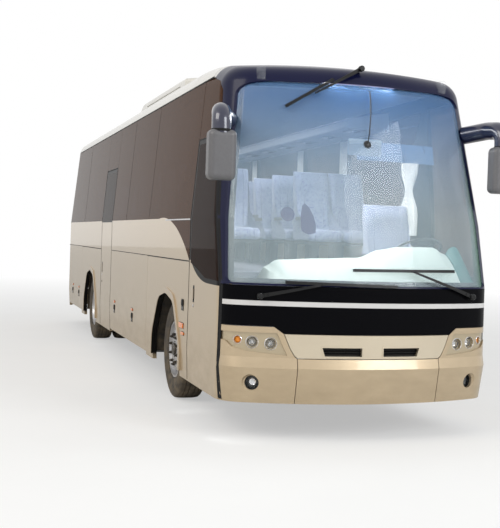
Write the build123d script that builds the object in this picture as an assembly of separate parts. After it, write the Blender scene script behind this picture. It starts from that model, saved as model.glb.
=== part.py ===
from build123d import *
import os
from math import asin, atan2, cos, pi, radians, sin, sqrt

# A 12 m high-deck coach. Millimetres, X forward from mid length, Y to the left, Z up from the road.
# Stations along the body are given as distances back from the foremost point of the nose.

# Overall size
body_length = 12040
body_width = 2550
roof_height = 3450

# Heights of the body's lines
skirt_height = 330
crease_height = 635
screen_base = 1330
rub_height = 1475
belt_height = 1900
gutter_height = 3210
loft_top = 3600

# The bumper's top leans back between the crease and the shelf's top
shelf_top = 722
shelf_depth = 24

# Plan and section shape
nose_bow = 2900
tail_bow = 5200
corner_low = 270
corner_high = 340
skirt_tuck = 13
screen_rake = 0.281
tail_rake = 0.168
tumblehome = 0.084
crown_radius = 9000
roof_bend_back = 2200
roof_bend_radius = 6800
roof_edge_radius = 220

# Walls and joints
wall = 45
glass_thickness = 8
seam = 6
door_gap = 8
pane_border = 60
head_border = 140
quarter_run = 700
groove_depth = 5
groove_half = 4

# Stations back from the nose
front_axle_back = 2590
rear_axle_back = 8670
door_front = 428
door_rear = 1550
door_top = 2640
door_lean_top = 800
flap_front = 3700
flap_rear = 6500
mid_door_rear = 7482
tail_flap_front = 9760
tail_flap_rear = 11560
tail_seam = 11750
dome_joint = 1250
cap_joint = 2000

# Wheels
wheel_radius = 515
wheel_height = wheel_radius
tyre_width = 295
bead_radius = 286
front_track = 2090
rear_track = 1800
twin_spacing = 340
hand_hole_ring = 222
fit_gap = 0.5
flange_in = 107
flange_out = 119
flange_radius = 298
kingpin_half = 860
arch_half = 685
arch_top = 1110
arch_lip = 66
lip_proud = 14

# Floors and bays
floor_top = 1380
floor_thickness = 40
platform_top = 960
bay_floor_top = 480
board_gap = 2
platform_back = 1800
stair_outer = 1130
stair_inner = 560
stair_lip = 30

# Doors: column's distance back and the arm's reach to the rear, then handle's distance back and heights
arm_y = -1180
arm_heights = (620, 1150)
sill_top = 385
front_door_arm = (640, 550)
mid_door_arm = (mid_door_rear - 150, -450)
front_handle = (1340, 1120, 1240)
mid_handle = (mid_door_rear - 132, 1150, 1270)
handle_reach = 32
handle_depth = 14

# Flaps and louvres
hinge_rod_radius = 3.5
louvre_gap = 22
louvre_pitch = 52
hatch_louvre_foot = 860
flap_louvre_foot = 700

# Roof hatches, and the fans of the roof pod
hatch_stations = (2560, 9300)
hatch_size = 620
hatch_rise = 34
pod_rise = 100
pod_half = 930
pod_slots = (3440, 3466)
fan_stations = (4200, 4850, 5500)
fan_across = 420
fan_radius = 240
fan_depth = 26

# Chassis frame
rail_half = 380
rail_width = 80
rail_heights = (660, 840)
bay_rail_heights = (370, 450)
sill_rail = (1080, 1140)
rail_front = 480
rail_rear = 11600
bulkhead_thickness = 24
cross_member_stations = (520, 1300, 1720, 3440, 7900, 9560, 10060, 11560)
floor_post_stations = (900, 1640, 2100, 3400, 7950, 9400, 9950)
# station back, reach to the right
bay_beams = ((4300, 1080), (5000, 1080), (5700, 1080), (6400, 1080), (7200, 480))

# Towing lugs at the rails' ends
tow_lug_length = 200
tow_lug_thickness = 30
tow_lug_bottom = 685
tow_eye_inset = 50
tow_eye_radius = 21

# Tail lamps
tail_lamp_span = (1010, 1190)
tail_lamp_band = (720, 1360)
tail_lamp_heights = (800, 960, 1120, 1280)
tail_lamp_radius = 66
tail_plate_inset = 9

# Nose trim
strip_proud = 5
slot_heights = (743, 816)
slot_lip = 11
slot_lip_proud = 5
slot_depth = 20
slat_height = 9
slat_bottoms = (762, 784)
plate_inset = 14
lens_inset = 9
marker_station = 690
marker_across = 880
marker_top = 3246

# Seats
seat_pitch = 800
seat_width = 880
seat_split = 9
first_seat = 2750
seat_rows = 11
aisle_half = 260

# Reach of the cutting forms past the body, and the core that a one-sided cut leaves alone
clear_out = 2000
side_core = 600

half_width = body_width / 2
nose = body_length / 2
front_axle = nose - front_axle_back
rear_axle = nose - rear_axle_back
bay_front = nose - 3580
bay_rear = nose - 7760
left, right = 1, -1
sides = (left, right)


def back(distance):
    return nose - distance


def prism(points, axis, low, high, radii=0):
    """A closed outline in the plane across an axis, carried along it from low to high."""
    place = {
        "x": lambda p: (low, p[0], p[1]),
        "y": lambda p: (p[0], low, p[1]),
        "z": lambda p: (p[0], p[1], low),
    }[axis]
    corners = [place(p) for p in points]
    if radii:
        outline = FilletPolyline(*corners, radius=radii, close=True)
    else:
        outline = Polyline(*corners, close=True)
    run = {"x": (high - low, 0, 0), "y": (0, high - low, 0), "z": (0, 0, high - low)}[axis]
    return Solid.extrude(Face(Wire(outline.edges())), Vector(*run))


def side_zone(points, radii=0, side=0):
    """A side-view outline of (distance back, height) points, carried across the body or one side."""
    low = side_core if side == left else -clear_out
    high = -side_core if side == right else clear_out
    return prism([(back(b), z) for b, z in points], "y", low, high, radii)


def block(x, y, z):
    """A box from three (low, high) pairs."""
    return Pos(x[0], y[0], z[0]) * Box(
        x[1] - x[0], y[1] - y[0], z[1] - z[0], align=(Align.MIN, Align.MIN, Align.MIN)
    )


def rod(start, end, radius):
    """A round bar between two points."""
    line = Vector(*end) - Vector(*start)
    return Plane(origin=start, z_dir=line) * Cylinder(
        radius, line.length, align=(Align.CENTER, Align.CENTER, Align.MIN)
    )


def spun(profile, origin, direction):
    """A solid turned about a line from (distance along it, radius) points."""
    plane = Plane(origin=origin, z_dir=direction)
    corners = [plane.from_local_coords((r, 0, a)) for a, r in profile]
    return Solid.revolve(Face(Wire(Polyline(*corners, close=True).edges())), 360, Axis(origin, direction))


def turned(profile, x, y, z, side):
    """A solid turned about a wheel's axis from (distance outward, radius) points."""
    return spun(profile, (x, y, z), (0, side, 0))


def join(shapes):
    """One solid from pieces that run into each other."""
    first, *rest = shapes
    return first.fuse(*rest).clean()


def save(node, *shapes):
    """Writes a node: one solid, or several that don't touch."""
    solids = [s for shape in shapes for s in shape.solids()]
    export_step(solids[0] if len(solids) == 1 else Compound(children=solids), f"parts/{node}.step")


# The body's form: ruled between a few plan outlines of arcs and lines
# height, half width, nose set back, tail set in, corner radius
screen_rise = belt_height - screen_base
upper_rise = loft_top - belt_height
levels = (
    (skirt_height, half_width - skirt_tuck, 60, 60, corner_low),
    (crease_height, half_width, 0, 0, corner_low),
    (shelf_top, half_width, shelf_depth, 1, corner_low),
    (screen_base, half_width, 35, 10, corner_low),
    (belt_height, half_width, 35 + screen_rake * screen_rise, 30, corner_low),
    (
        loft_top,
        half_width - tumblehome * upper_rise,
        35 + screen_rake * (screen_rise + upper_rise),
        30 + tail_rake * upper_rise,
        corner_high,
    ),
)


def plan_outline(height, half, nose_back, tail_in, corner, inset):
    """Bowed ends run through corner arcs into straight sides."""

    def end(sign, tip, bow):
        corner_y = half - corner
        reach = bow - corner
        bow_x = tip - sign * bow
        corner_x = bow_x + sign * sqrt(reach**2 - corner_y**2)
        turn = asin(corner_y / reach)
        outer = bow - inset
        inner = corner - inset
        half_turn = (turn + pi / 2) / 2
        return (
            (bow_x + sign * outer, 0, height),
            (bow_x + sign * outer * cos(turn), outer * sin(turn), height),
            (corner_x + sign * inner * cos(half_turn), corner_y + inner * sin(half_turn), height),
            (corner_x, corner_y + inner, height),
        )

    def across(point):
        return (point[0], -point[1], point[2])

    front_tip, front_join, front_mid, front_side = end(1, nose - nose_back, nose_bow)
    rear_tip, rear_join, rear_mid, rear_side = end(-1, -nose + tail_in, tail_bow)
    return Wire(
        [
            ThreePointArc(across(front_join), front_tip, front_join),
            ThreePointArc(front_join, front_mid, front_side),
            Line(front_side, rear_side),
            ThreePointArc(rear_side, rear_mid, rear_join),
            ThreePointArc(rear_join, rear_tip, across(rear_join)),
            ThreePointArc(across(rear_join), across(rear_mid), across(rear_side)),
            Line(across(rear_side), across(front_side)),
            ThreePointArc(across(front_side), across(front_mid), across(front_join)),
        ]
    )


def roof_form(inset):
    """The crowned roof, level behind and bending down to the windscreen, turned about a low axis."""
    axis_height = roof_height - crown_radius
    level_end = back(roof_bend_back)
    front = nose + 400
    tail = -nose - 600
    top = crown_radius - inset
    bend = roof_bend_radius - inset
    full = asin((front - level_end) / roof_bend_radius)

    def on_bend(turn):
        height = axis_height + top - bend + bend * cos(turn)
        return (level_end + bend * sin(turn), 0, height)

    outline = Wire(
        [
            Line((tail, 0, axis_height), (tail, 0, axis_height + top)),
            Line((tail, 0, axis_height + top), (level_end, 0, axis_height + top)),
            ThreePointArc((level_end, 0, axis_height + top), on_bend(full / 2), on_bend(full)),
            Line(on_bend(full), (on_bend(full)[0], 0, axis_height)),
            Line((on_bend(full)[0], 0, axis_height), (tail, 0, axis_height)),
        ]
    )
    return Solid.revolve(Face(outline), 360, Axis((0, 0, axis_height), (1, 0, 0)))


def body_form(inset):
    """The whole body as a closed solid, drawn in by an inset from its outer skin."""
    rough = Solid.make_loft([plan_outline(*level, inset) for level in levels], ruled=True)
    cut = (rough & roof_form(inset)).solids()[0]

    def on_rim(edge):
        box = edge.bounding_box()
        crosses = box.max.Y - box.min.Y > body_width / 2
        at_bend = abs(edge.center().X - back(roof_bend_back)) < 300
        return box.min.Z > gutter_height - 60 and not (crosses and at_bend)

    return cut.fillet(roof_edge_radius - inset, [e for e in cut.edges() if on_rim(e)])


outer = body_form(0)
inner = body_form(wall)
glass_back = body_form(glass_thickness)
skin = outer - inner
glass_skin = outer - glass_back
frame_skin = glass_back - inner


def widen(points, gap, centre):
    """Moves each point of an outline away from a centre by a gap along both axes."""
    return [(a + (gap if a > centre[0] else -gap), b + (gap if b > centre[1] else -gap)) for a, b in points]


# Side-view outlines as (distance back, height)
front_door_outline = [
    (door_front, skirt_height),
    (door_front, 1300),
    (door_lean_top, door_top),
    (door_rear, door_top),
    (door_rear, skirt_height),
]
front_door_window = [
    (door_front + 25, 1345),
    (door_lean_top + 35, door_top - 45),
    (door_rear - 45, door_top - 45),
    (door_rear - 45, 1470),
    (door_rear - 300, 1425),
    (door_front + 500, 1350),
]
mid_door_outline = [
    (flap_rear, skirt_height),
    (flap_rear, door_top + 10),
    (mid_door_rear, door_top + 10),
    (mid_door_rear, skirt_height),
]
screen_outline = [(-200, screen_base + 16), (366, screen_base + 16), (782, 3118), (-200, 3118)]

# Rear-view outlines as (across, height)
rear_window = [(-940, 2080), (940, 2080), (880, 2960), (-880, 2960)]
rear_window_inside = [(-880, 2150), (880, 2150), (820, 2890), (-820, 2890)]
hatch_outline = [(-900, crease_height + seam), (900, crease_height + seam), (900, 1640), (-900, 1640)]


def door_opening(outline):
    """The hole a door fills: its outline and the gap round it, open below."""
    centre = ((outline[0][0] + outline[-1][0]) / 2, 1500)
    return side_zone(widen(outline, door_gap, centre), side=right)


def arch_zone(axle_back, grow=0):
    """A wheel opening, flat across its top with large round shoulders."""
    reach = arch_half + grow
    top = arch_top + grow
    points = [
        (axle_back - reach - 20, 100),
        (axle_back - reach, 640),
        (axle_back - reach * 0.55, top - 60),
        (axle_back, top + 8),
        (axle_back + reach * 0.55, top - 60),
        (axle_back + reach, 640),
        (axle_back + reach + 20, 100),
    ]
    return side_zone(points, (0, 300, 260, 500, 260, 300, 0))


def front_zone(points, radii=0):
    """A front-view outline of (across, height) points, carried through the nose."""
    return prism(points, "x", back(1600), nose + 200, radii)


def under_quarter(points):
    """A side view closed above by the curved top edge of the panel behind the front door."""
    start, middle, end = (back(door_rear), 0, rub_height), (back(2260), 0, 1822), (back(3100), 0, belt_height)
    curve = ThreePointArc(start, middle, end)
    rest = Polyline(end, *[(back(b), 0, z) for b, z in points], start)
    outline = Face(Wire([curve, *rest.edges()]))
    return Pos(0, -clear_out, 0) * Solid.extrude(outline, Vector(0, 2 * clear_out, 0))


def flap_opening(front, rear):
    """The hole that a flap fills, with the seam at both its ends, open below."""
    ahead, behind = front - seam, rear + seam
    return side_zone([(ahead, 0), (ahead, rub_height), (behind, rub_height), (behind, 0)])


def side_panels():
    """Fixed lower and belt panels of both sides, with lips round the wheel openings."""
    zone = under_quarter([(tail_seam, belt_height), (tail_seam, 100), (door_rear, 100)])
    ahead = [(door_front, 100), (door_front, 1300), (door_rear + 5, rub_height), (door_rear + 5, 100)]
    panels = skin & zone
    corner = (skin & side_zone(ahead)) & block((0, nose), (0, clear_out), (0, 2000))
    openings = [flap_opening(flap_front, flap_rear), flap_opening(tail_flap_front, tail_flap_rear)]
    openings += [arch_zone(b) for b in (front_axle_back, rear_axle_back)]
    pieces = []
    for side in sides:
        body = panels & block((-7000, 7000), sorted((0, side * clear_out)), (0, 4000))
        if side == left:
            body = body.fuse(corner)
        lip_y = sorted((side * (half_width - 30), side * (half_width + lip_proud)))
        lip_band = block((-nose, nose), lip_y, (skirt_height + 60, 2000))
        lips = [arch_zone(b, arch_lip) & lip_band for b in (front_axle_back, rear_axle_back)]
        body = body.fuse(*lips).cut(*openings)
        if side == right:
            body = body - door_opening(mid_door_outline)
        groove_y = sorted((side * (half_width - groove_depth), side * (half_width + 5)))
        groove_z = (rub_height - groove_half, rub_height + groove_half)
        body = body - block((back(11740), back(1700)), groove_y, groove_z)
        pieces.append(body)
    save("side_panels", *pieces)


# Windows of one side: front and rear distance back, lower and upper height
pane_rows = {
    left: (
        (door_rear + 3, 3697, belt_height, gutter_height),
        (3703, 5297, belt_height, gutter_height),
        (5303, 7497, belt_height, gutter_height),
        (7503, 9597, belt_height, gutter_height),
        (9603, tail_seam - 3, belt_height, gutter_height),
    ),
    right: (
        (door_rear + door_gap, 3697, belt_height, gutter_height),
        (3703, 5297, belt_height, gutter_height),
        (5303, flap_rear - door_gap, belt_height, gutter_height),
        (flap_rear - door_gap + seam, 7497, door_top + 10 + door_gap, gutter_height),
        (7503, 9597, belt_height, gutter_height),
        (9603, tail_seam - 3, belt_height, gutter_height),
    ),
}


# The dark front shell's rear edge in side view, from the roof joint down to the door
shell_edge = [
    (dome_joint, 3700),
    (dome_joint, gutter_height - 10),
    (1000, 3140),
    (900, 3050),
    (door_lean_top - 10, door_top - 10),
    (door_front - 12, 1300),
    (door_front - 12, screen_base),
]


def front_shell_zone(grow=0):
    points = [(-200, screen_base), (-200, 3700)] + [(b + grow, z) for b, z in shell_edge]
    return side_zone(points)


def window_glass_and_pillars():
    """Bonded side panes over a frame with one opening behind each pane."""
    panes = []
    frames = []
    below = under_quarter([(3900, belt_height), (3900, 1300), (1200, 1300), (1200, rub_height - 30)])
    behind = door_rear - 3
    band_rear, band_top = tail_seam - 3, gutter_height - 3
    frame_band = [(behind, 1300), (behind, band_top), (band_rear, band_top), (band_rear, 1300)]
    under_belt = side_zone([(3100, 1200), (3100, belt_height), (12300, belt_height), (12300, 1200)])
    shell = front_shell_zone(seam)
    doorways = [door_opening(mid_door_outline), door_opening(front_door_outline)]
    for side in sides:
        top = gutter_height - 5
        if side == left:
            ahead = [(door_front, 1306), (door_front, top), (behind, top), (behind, rub_height)]
        else:
            front, foot = door_lean_top - 100, door_top + door_gap
            ahead = [(front, foot), (front, top), (behind, top), (behind, foot)]
        panes += ((glass_skin & side_zone(ahead, side=side)) - shell).solids()
        head = (frame_skin & side_zone(ahead, side=side)) - shell
        if side == left:
            hole_rear = door_rear - 70
            driver_hole = [(door_front + 130, 1420), (960, 3090), (hole_rear, 3090), (hole_rear, 1520)]
            head = head - side_zone(driver_hole)
        frames += head.solids()
        frame = (frame_skin & side_zone(frame_band, side=side)) - below - under_belt
        for front, rear, low, high in pane_rows[side]:
            meets_quarter = front < 2000
            foot = 1400 if meets_quarter else low
            zone = [(front, foot), (front, high - 3), (rear, high - 3), (rear, foot)]
            pane = glass_skin & side_zone(zone, side=side)
            if meets_quarter:
                pane = pane - below
            if side == right:
                pane = pane.cut(*doorways)
            panes += pane.solids()
            ahead_b, behind_b = front + pane_border, rear - pane_border
            foot_b = ahead_b + (quarter_run if meets_quarter else 0)
            foot_z, head_z = low + pane_border, high - head_border
            hole = [(foot_b, foot_z), (ahead_b, head_z), (behind_b, head_z), (behind_b, foot_z)]
            frame = frame - side_zone(hole, side=side)
        if side == right:
            frame = frame.cut(*doorways)
        frames += frame.solids()
    panes.append(glass_skin & prism(rear_window, "x", -nose - 100, back(tail_seam), 60))
    save("window_glass", *panes)
    save("window_pillars", *frames)


def roof():
    """Main roof and the front cap between its two joints, with two hatch openings."""
    above = skin & block((-7000, 7000), (-2000, 2000), (gutter_height + 3, 4000))
    main = above & block((back(tail_seam - 3), back(cap_joint + 3)), (-2000, 2000), (0, 4000))
    cap = above & block((back(cap_joint - 3), back(dome_joint + 3)), (-2000, 2000), (0, 4000))
    for station in hatch_stations:
        main = main - hatch_block(station, door_gap)
    save("roof", main, cap)


def hatch_block(station, grow):
    reach = hatch_size / 2 + grow
    x = back(station)
    return block((x - reach, x + reach), (-reach, reach), (roof_height - 200, roof_height + 200))


def roof_hatches():
    """Escape hatch lids: a plug in the roof opening under a raised rim."""
    for name, station in zip(("roof_hatch_front", "roof_hatch_rear"), hatch_stations):
        plug = (skin & hatch_block(station, 0)).solids()[0]
        x = back(station)
        reach = hatch_size / 2
        lid = block((x - reach, x + reach), (-reach, reach), (roof_height - 20, roof_height + hatch_rise))
        lid = lid.fillet(16, lid.faces().sort_by(Axis.Z)[-1].edges())
        save(name, join([plug, lid]))


def roof_pod():
    """The air-conditioning pod: a raised fairing with guarded fan wells on top and slots along its sides."""
    front, full, start_tail, end = 3180, 3420, 6100, 6680
    foot = roof_height - 90
    top = roof_height + pod_rise
    crest = [(back(full), top - 6), (back(full + 500), top), (back(start_tail), top)]
    pod = prism([(back(front), foot), *crest, (back(end), foot)], "y", -pod_half, pod_half)
    half_plan = [(front - 10, 560), (full + 150, pod_half), (end - 100, pod_half), (end, 700)]
    plan = [(back(b), y) for b, y in half_plan] + [(back(b), -y) for b, y in reversed(half_plan)]
    pod = pod & prism(plan, "z", 3000, 3700)
    top_faces = [f for f in pod.faces() if f.center().Z > roof_height + 60 and f.normal_at().Z > 0.95]
    pod = pod.fillet(40, [e for f in top_faces for e in f.edges() if abs(e.center().Y) > 500])
    guard_band = block((-7000, 7000), (-pod_half, pod_half), (top - fan_depth - 1, top - 6))
    for station in fan_stations:
        for y in (-fan_across, fan_across):
            middle = Pos(back(station), y, top)
            well = middle * Cylinder(fan_radius, 2 * fan_depth)
            ring = middle * (Cylinder(150, 2 * fan_depth) - Cylinder(138, 2 * fan_depth))
            hub = middle * Cylinder(60, 2 * fan_depth)
            spokes = [middle * Rot(0, 0, a) * Box(2 * fan_radius, 14, 2 * fan_depth) for a in (45, 135)]
            pod = pod - (well - (join([hub, ring, *spokes]) & guard_band))
    for side in sides:
        for z in pod_slots:
            slot_y = sorted((side * (pod_half - 12), side * (pod_half + 10)))
            pod = pod - block((back(5900), back(3800)), slot_y, (z, z + 14))
    save("roof_pod", pod - outer)


def front_shell():
    """The dark surround of the windscreen with the roof's front dome."""
    shell = skin & front_shell_zone()
    shell = shell - side_zone(screen_outline, (0, 60, 110, 0))
    inside = body_form(20)
    rebate = side_zone(widen(screen_outline, 14, (0, 2000)), (0, 70, 120, 0))
    save("front_shell", shell - (rebate & inside))
    pane = (inside - body_form(28)) & rebate
    save("windscreen", pane)


def front_panels():
    """The black panel under the windscreen with its bright strip, and the slotted grille panel."""
    lower = [
        (-1400, 985), (-850, 985), (-770, 928), (770, 928), (850, 985), (1400, 985),
        (1400, screen_base - 4), (-1400, screen_base - 4),
    ]
    zone = side_zone([(-200, 800), (-200, 1400), (door_front - 12, 1400), (door_front - 12, 800)])
    panel = skin & front_zone(lower) & zone
    strip_outline = [(-1130, 1158), (-1060, 1199), (1060, 1199), (1130, 1158)]
    bead = (body_form(-strip_proud) & front_zone(strip_outline)) - body_form(2)
    save("front_panel", join([panel, bead]))
    half = [(763, 922), (716, 808), (677, 742), (650, 722)]
    plate = skin & front_zone([(-y, z) for y, z in half] + half[::-1])
    nose_part = block((nose - 400, nose + 100), (-600, 600), (600, 1000))
    lip_layer = (body_form(-slot_lip_proud) & nose_part) - body_form(slot_depth)
    slat_core = body_form(slot_depth)
    low, high = slot_heights
    for side in sides:
        slot = [(side * 98, low), (side * 425, low), (side * 449, high), (side * 98, high)]
        ring = widen(slot, slot_lip, (side * 270, (low + high) / 2))
        hole = front_zone(slot, 10)
        for z in slat_bottoms:
            hole = hole - (slat_core & block((0, nose), (-500, 500), (z, z + slat_height)))
        plate = plate.fuse(lip_layer & front_zone(ring, 14)) - hole
    save("grille_panel", plate)


# A lamp recess as (across, height), from its outer end round by the grille's side
recess_outline = (
    (1400, 930), (824, 930), (738, 742), (876, 752), (1058, 770), (1177, 800), (1225, 850), (1400, 900),
)
lamp_recess = {side: [(side * y, z) for y, z in recess_outline] for side in sides}
# across, height, bowl radius, outward turn in degrees
front_lamps = (
    (1142, 864, 37, 30),
    (1024, 847, 54, 16),
    (873, 838, 54, 12),
)
fog_lamp = (1018, 503, 62, 24)
fog_depth = 40


def lamp_line(across, height, turn, side, depth=0):
    """A point on a front lamp's axis at a depth behind the body's skin, and the way the lamp faces."""
    x, y, z = skin_point(across, height)
    facing = (cos(radians(turn)), side * sin(radians(turn)), 0)
    return (x - depth * facing[0], side * y - depth * facing[1], z), facing


def front_bumper():
    """Centre bumper and two corner mouldings that wrap to the doors and carry the lamps."""
    zone = side_zone([(-200, 0), (-200, 982), (door_front - 12, 982), (door_front - 12, 0)])
    shell = skin & zone
    centre = shell & front_zone([(-652, 100), (-652, 716), (652, 716), (652, 100)])
    pieces = [centre]
    across, height, radius, turn = fog_lamp
    for side in sides:
        corner_outline = [
            (side * 658, 100), (side * 658, 716), (side * 682, 739), (side * 722, 808),
            (side * 769, 922), (side * 850, 980), (side * 1400, 980), (side * 1400, 100),
        ]
        corner = shell & front_zone(corner_outline)
        corner = corner - front_zone(lamp_recess[side])
        origin, facing = lamp_line(across, height, turn, side)
        hole = Plane(origin=origin, z_dir=facing) * Cylinder(radius, 260)
        scoop = spun([(-14, 0), (-14, radius + 2), (30, radius + 34), (30, 0)], origin, facing)
        corner = corner - hole - Pos(0, side * 12, -8) * scoop
        pieces.append(corner)
    save("front_bumper", *pieces)


def lamp_bowl(radius):
    """A lamp's bowl as (distance outward, radius), with a ledge for its lens."""
    seat = radius - lens_inset
    outside = [(-58, 0), (-58, radius * 0.5), (-26, radius - 2), (-20, radius), (8, radius), (8, radius - 5)]
    return outside + [(-2, seat), (-20, seat), (-20, seat - 6), (-50, radius * 0.35), (-50, 0)]


def lamp_lens(radius, dome):
    """A domed lens that seats on the bowl's ledge."""
    rim = radius - lens_inset - fit_gap
    crown = [(-15 + dome * 0.6, rim * 0.72), (-15 + dome * 0.9, rim * 0.4), (-15 + dome, 0)]
    return [(-20, 0), (-20, rim), (-15, rim), *crown]


def front_lamps_and_lenses():
    """Set-back plates in the recesses with three bowls each, their lenses, fog and roof lamps."""
    plate_layer = body_form(plate_inset) - body_form(plate_inset + 8)
    plate_end = side_zone([(-200, 0), (-200, 982), (door_front - 40, 982), (door_front - 40, 0)])
    units = []
    lenses = []
    for side in sides:
        unit = (plate_layer & front_zone(lamp_recess[side]) & plate_end).solids()[0]
        for across, height, radius, turn in front_lamps:
            line = lamp_line(across, height, turn, side, plate_inset + 4)
            unit = unit - Plane(origin=line[0], z_dir=line[1]) * Cylinder(radius - 1, 120)
            unit = unit.fuse(spun(lamp_bowl(radius), *line))
            lenses.append(spun(lamp_lens(radius, 12 if radius > 40 else 8), *line))
        units.append(unit)
    across, height, radius, turn = fog_lamp
    fogs = []
    for side in sides:
        line = lamp_line(across, height, turn, side, fog_depth)
        fogs.append(spun(lamp_bowl(radius - fit_gap), *line))
        lenses.append(spun(lamp_lens(radius - fit_gap, 12), *line))
    save("headlamps", *units)
    save("fog_lamps", *fogs)
    for side in sides:
        x, y = back(marker_station), side * marker_across
        lamp = block((x - 45, x + 45), (y - 32, y + 32), (marker_top - 120, marker_top))
        lamp = lamp.fillet(12, lamp.edges().filter_by(Axis.Z) + lamp.faces().sort_by(Axis.Z)[-1].edges())
        lenses.append((lamp - outer).solids().sort_by(Axis.Z)[-1])
    save("lamp_lenses", *lenses)


def tail_lamp_outline(side):
    """Rear view of a tail lamp's opening as (across, height)."""
    low, high = tail_lamp_band
    near, far = (side * y for y in tail_lamp_span)
    return [(near, low), (far, low), (far, high), (near, high)]


def tail_lamps():
    """A shallow plate in each rear corner with four round lenses in raised bezels."""
    start, end = -nose - 100, back(body_length - 400)
    low, high = tail_lamp_band
    core = body_form(tail_plate_inset + 6)
    plate_form = body_form(tail_plate_inset)
    bezel_form = body_form(-3)
    lamps = []
    for side in sides:
        near = block((start, end), sorted((side * 900, side * 1300)), (low - 60, high + 60))
        plate = (plate_form & near) - inner
        plate = plate & prism(tail_lamp_outline(side), "x", start, end, 30)
        bezel_layer = (bezel_form & near) - core
        lens_layer = (outer & near) - core
        for height in tail_lamp_heights:
            spot = Pos(end, side * sum(tail_lamp_span) / 2, height) * Rot(0, 90, 0)
            bezel = spot * (Cylinder(tail_lamp_radius, 1200) - Cylinder(tail_lamp_radius - 7, 1300))
            lens = spot * Cylinder(tail_lamp_radius - 14, 1200)
            plate = plate.fuse(bezel_layer & bezel, lens_layer & lens)
        lamps.append(plate)
    save("tail_lamps", *lamps)


def rear():
    """Rear cap with its window and lamp openings, the engine hatch and the bumper."""
    zone = block((-7000, back(tail_seam + 3)), (-clear_out, clear_out), (0, 4000))
    shell = skin & zone
    through = (-nose - 200, back(tail_seam - 400))
    bumper = shell & block((-7000, 7000), (-clear_out, clear_out), (0, crease_height - 3))
    plate_recess = block((-7000, back(body_length - 62)), (-270, 270), (470, 600)) - body_form(10)
    save("rear_bumper", bumper - plate_recess)
    cap = shell & block((-7000, 7000), (-clear_out, clear_out), (crease_height + 3, 4000))
    pane = prism(rear_window, "x", *through, 60)
    border = pane - prism(rear_window_inside, "x", *through, 50)
    cap = (cap - pane).fuse(frame_skin & zone & border)
    cap = cap - prism(widen(hatch_outline, seam, (0, 1100)), "x", *through)
    for side in sides:
        cap = cap - prism(tail_lamp_outline(side), "x", *through, 30)
    save("rear_cap", cap)
    hatch = skin & zone & prism(hatch_outline, "x", *through)
    rows = [hatch_louvre_foot + i * louvre_pitch for i in range(7)]
    save("engine_hatch", louvred(hatch, ((-700, -30), (30, 700)), rows, "x"))


def door(name, outline, window, column_back, arm_reach, handle):
    """A plug door: a leaf with its pane and handle, carried by two arms on an upright column."""
    leaf = skin & side_zone(outline, side=right)
    opening = side_zone(window, side=right)
    middle = sum(b for b, _ in window) / len(window)
    inside = widen(window, -pane_border, (middle, 2000))
    leaf = leaf - (glass_skin & opening) - side_zone(inside, side=right)
    tip = back(column_back) - arm_reach
    clasp_y = (wall - 8 - half_width, arm_y + 22)
    for z in arm_heights:
        for offset in (-31, 21):
            leaf = leaf.fuse(block((tip - 25, tip + 25), clasp_y, (z + offset, z + offset + 10)))
    handle_back, low, high = handle
    x = back(handle_back)
    pocket_y = (-half_width - 40, handle_depth - half_width)
    pocket = block((x - handle_reach, x + handle_reach), pocket_y, (low, high))
    pocket = pocket.fillet(20, pocket.edges().filter_by(Axis.Y))
    grip = block((x - 11, x + 11), (2 - half_width, handle_depth + 2 - half_width), (low + 12, high + 1))
    save(f"{name}_leaf", (leaf - pocket).fuse(grip & outer))
    save(f"{name}_glass", glass_skin & opening)
    parts = [rod((back(column_back), arm_y, sill_top + 3), (back(column_back), arm_y, 1260), 18)]
    for z in arm_heights:
        parts.append(block(sorted((back(column_back), tip)), (arm_y - 12, arm_y + 12), (z - 18, z + 18)))
        parts.append(Pos(tip, arm_y, z) * Cylinder(20, 36))
    save(f"{name}_arm", join(parts))


def doors():
    """The front door, which swings forward, and the middle door, which swings to the rear."""
    mid_window = [
        (flap_rear + 40, belt_height),
        (flap_rear + 40, door_top - 35),
        (mid_door_rear - 40, door_top - 35),
        (mid_door_rear - 40, belt_height),
    ]
    door("front_door", front_door_outline, front_door_window, *front_door_arm, front_handle)
    door("mid_door", mid_door_outline, mid_window, *mid_door_arm, mid_handle)


def louvred(panel, spans, heights, axis):
    """Cuts rows of slots through a panel that faces along an axis, each row in the given spans."""
    slots = []
    for z in heights:
        for span in spans:
            x, y = ((-7000, 0), span) if axis == "x" else (span, (-clear_out, clear_out))
            slots.append(block(x, y, (z, z + louvre_gap)))
    return panel.cut(*slots)


def flaps():
    """Luggage and service flaps, each on a hinge rod that lies in the rub line's groove."""
    rows = (
        # node, side, front, rear, bottom
        ("luggage_flap_right", right, flap_front, flap_rear - seam, 365),
        ("luggage_flap_left", left, flap_front, flap_rear, 365),
        ("rear_flap_right", right, tail_flap_front, tail_flap_rear, 385),
        ("rear_flap_left", left, tail_flap_front, tail_flap_rear, 385),
    )
    for node, side, front, rear, low in rows:
        outline = [(front, low), (front, rub_height - seam), (rear, rub_height - seam), (rear, low)]
        flap = skin & side_zone(outline, side=side)
        y = side * half_width
        pin = rod((back(rear), y, rub_height), (back(front), y, rub_height), hinge_rod_radius)
        web_y = sorted((y, y - side * hinge_rod_radius))
        web = block((back(rear), back(front)), web_y, (rub_height - seam - 4, rub_height))
        if node == "rear_flap_left":
            middle = back((front + rear) / 2)
            slots = [flap_louvre_foot + i * louvre_pitch for i in range(8)]
            halves = ((middle - 620, middle - 20), (middle + 20, middle + 620))
            flap = louvred(flap, halves, slots, "y")
        save(node, join([flap, web, pin]))


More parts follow.
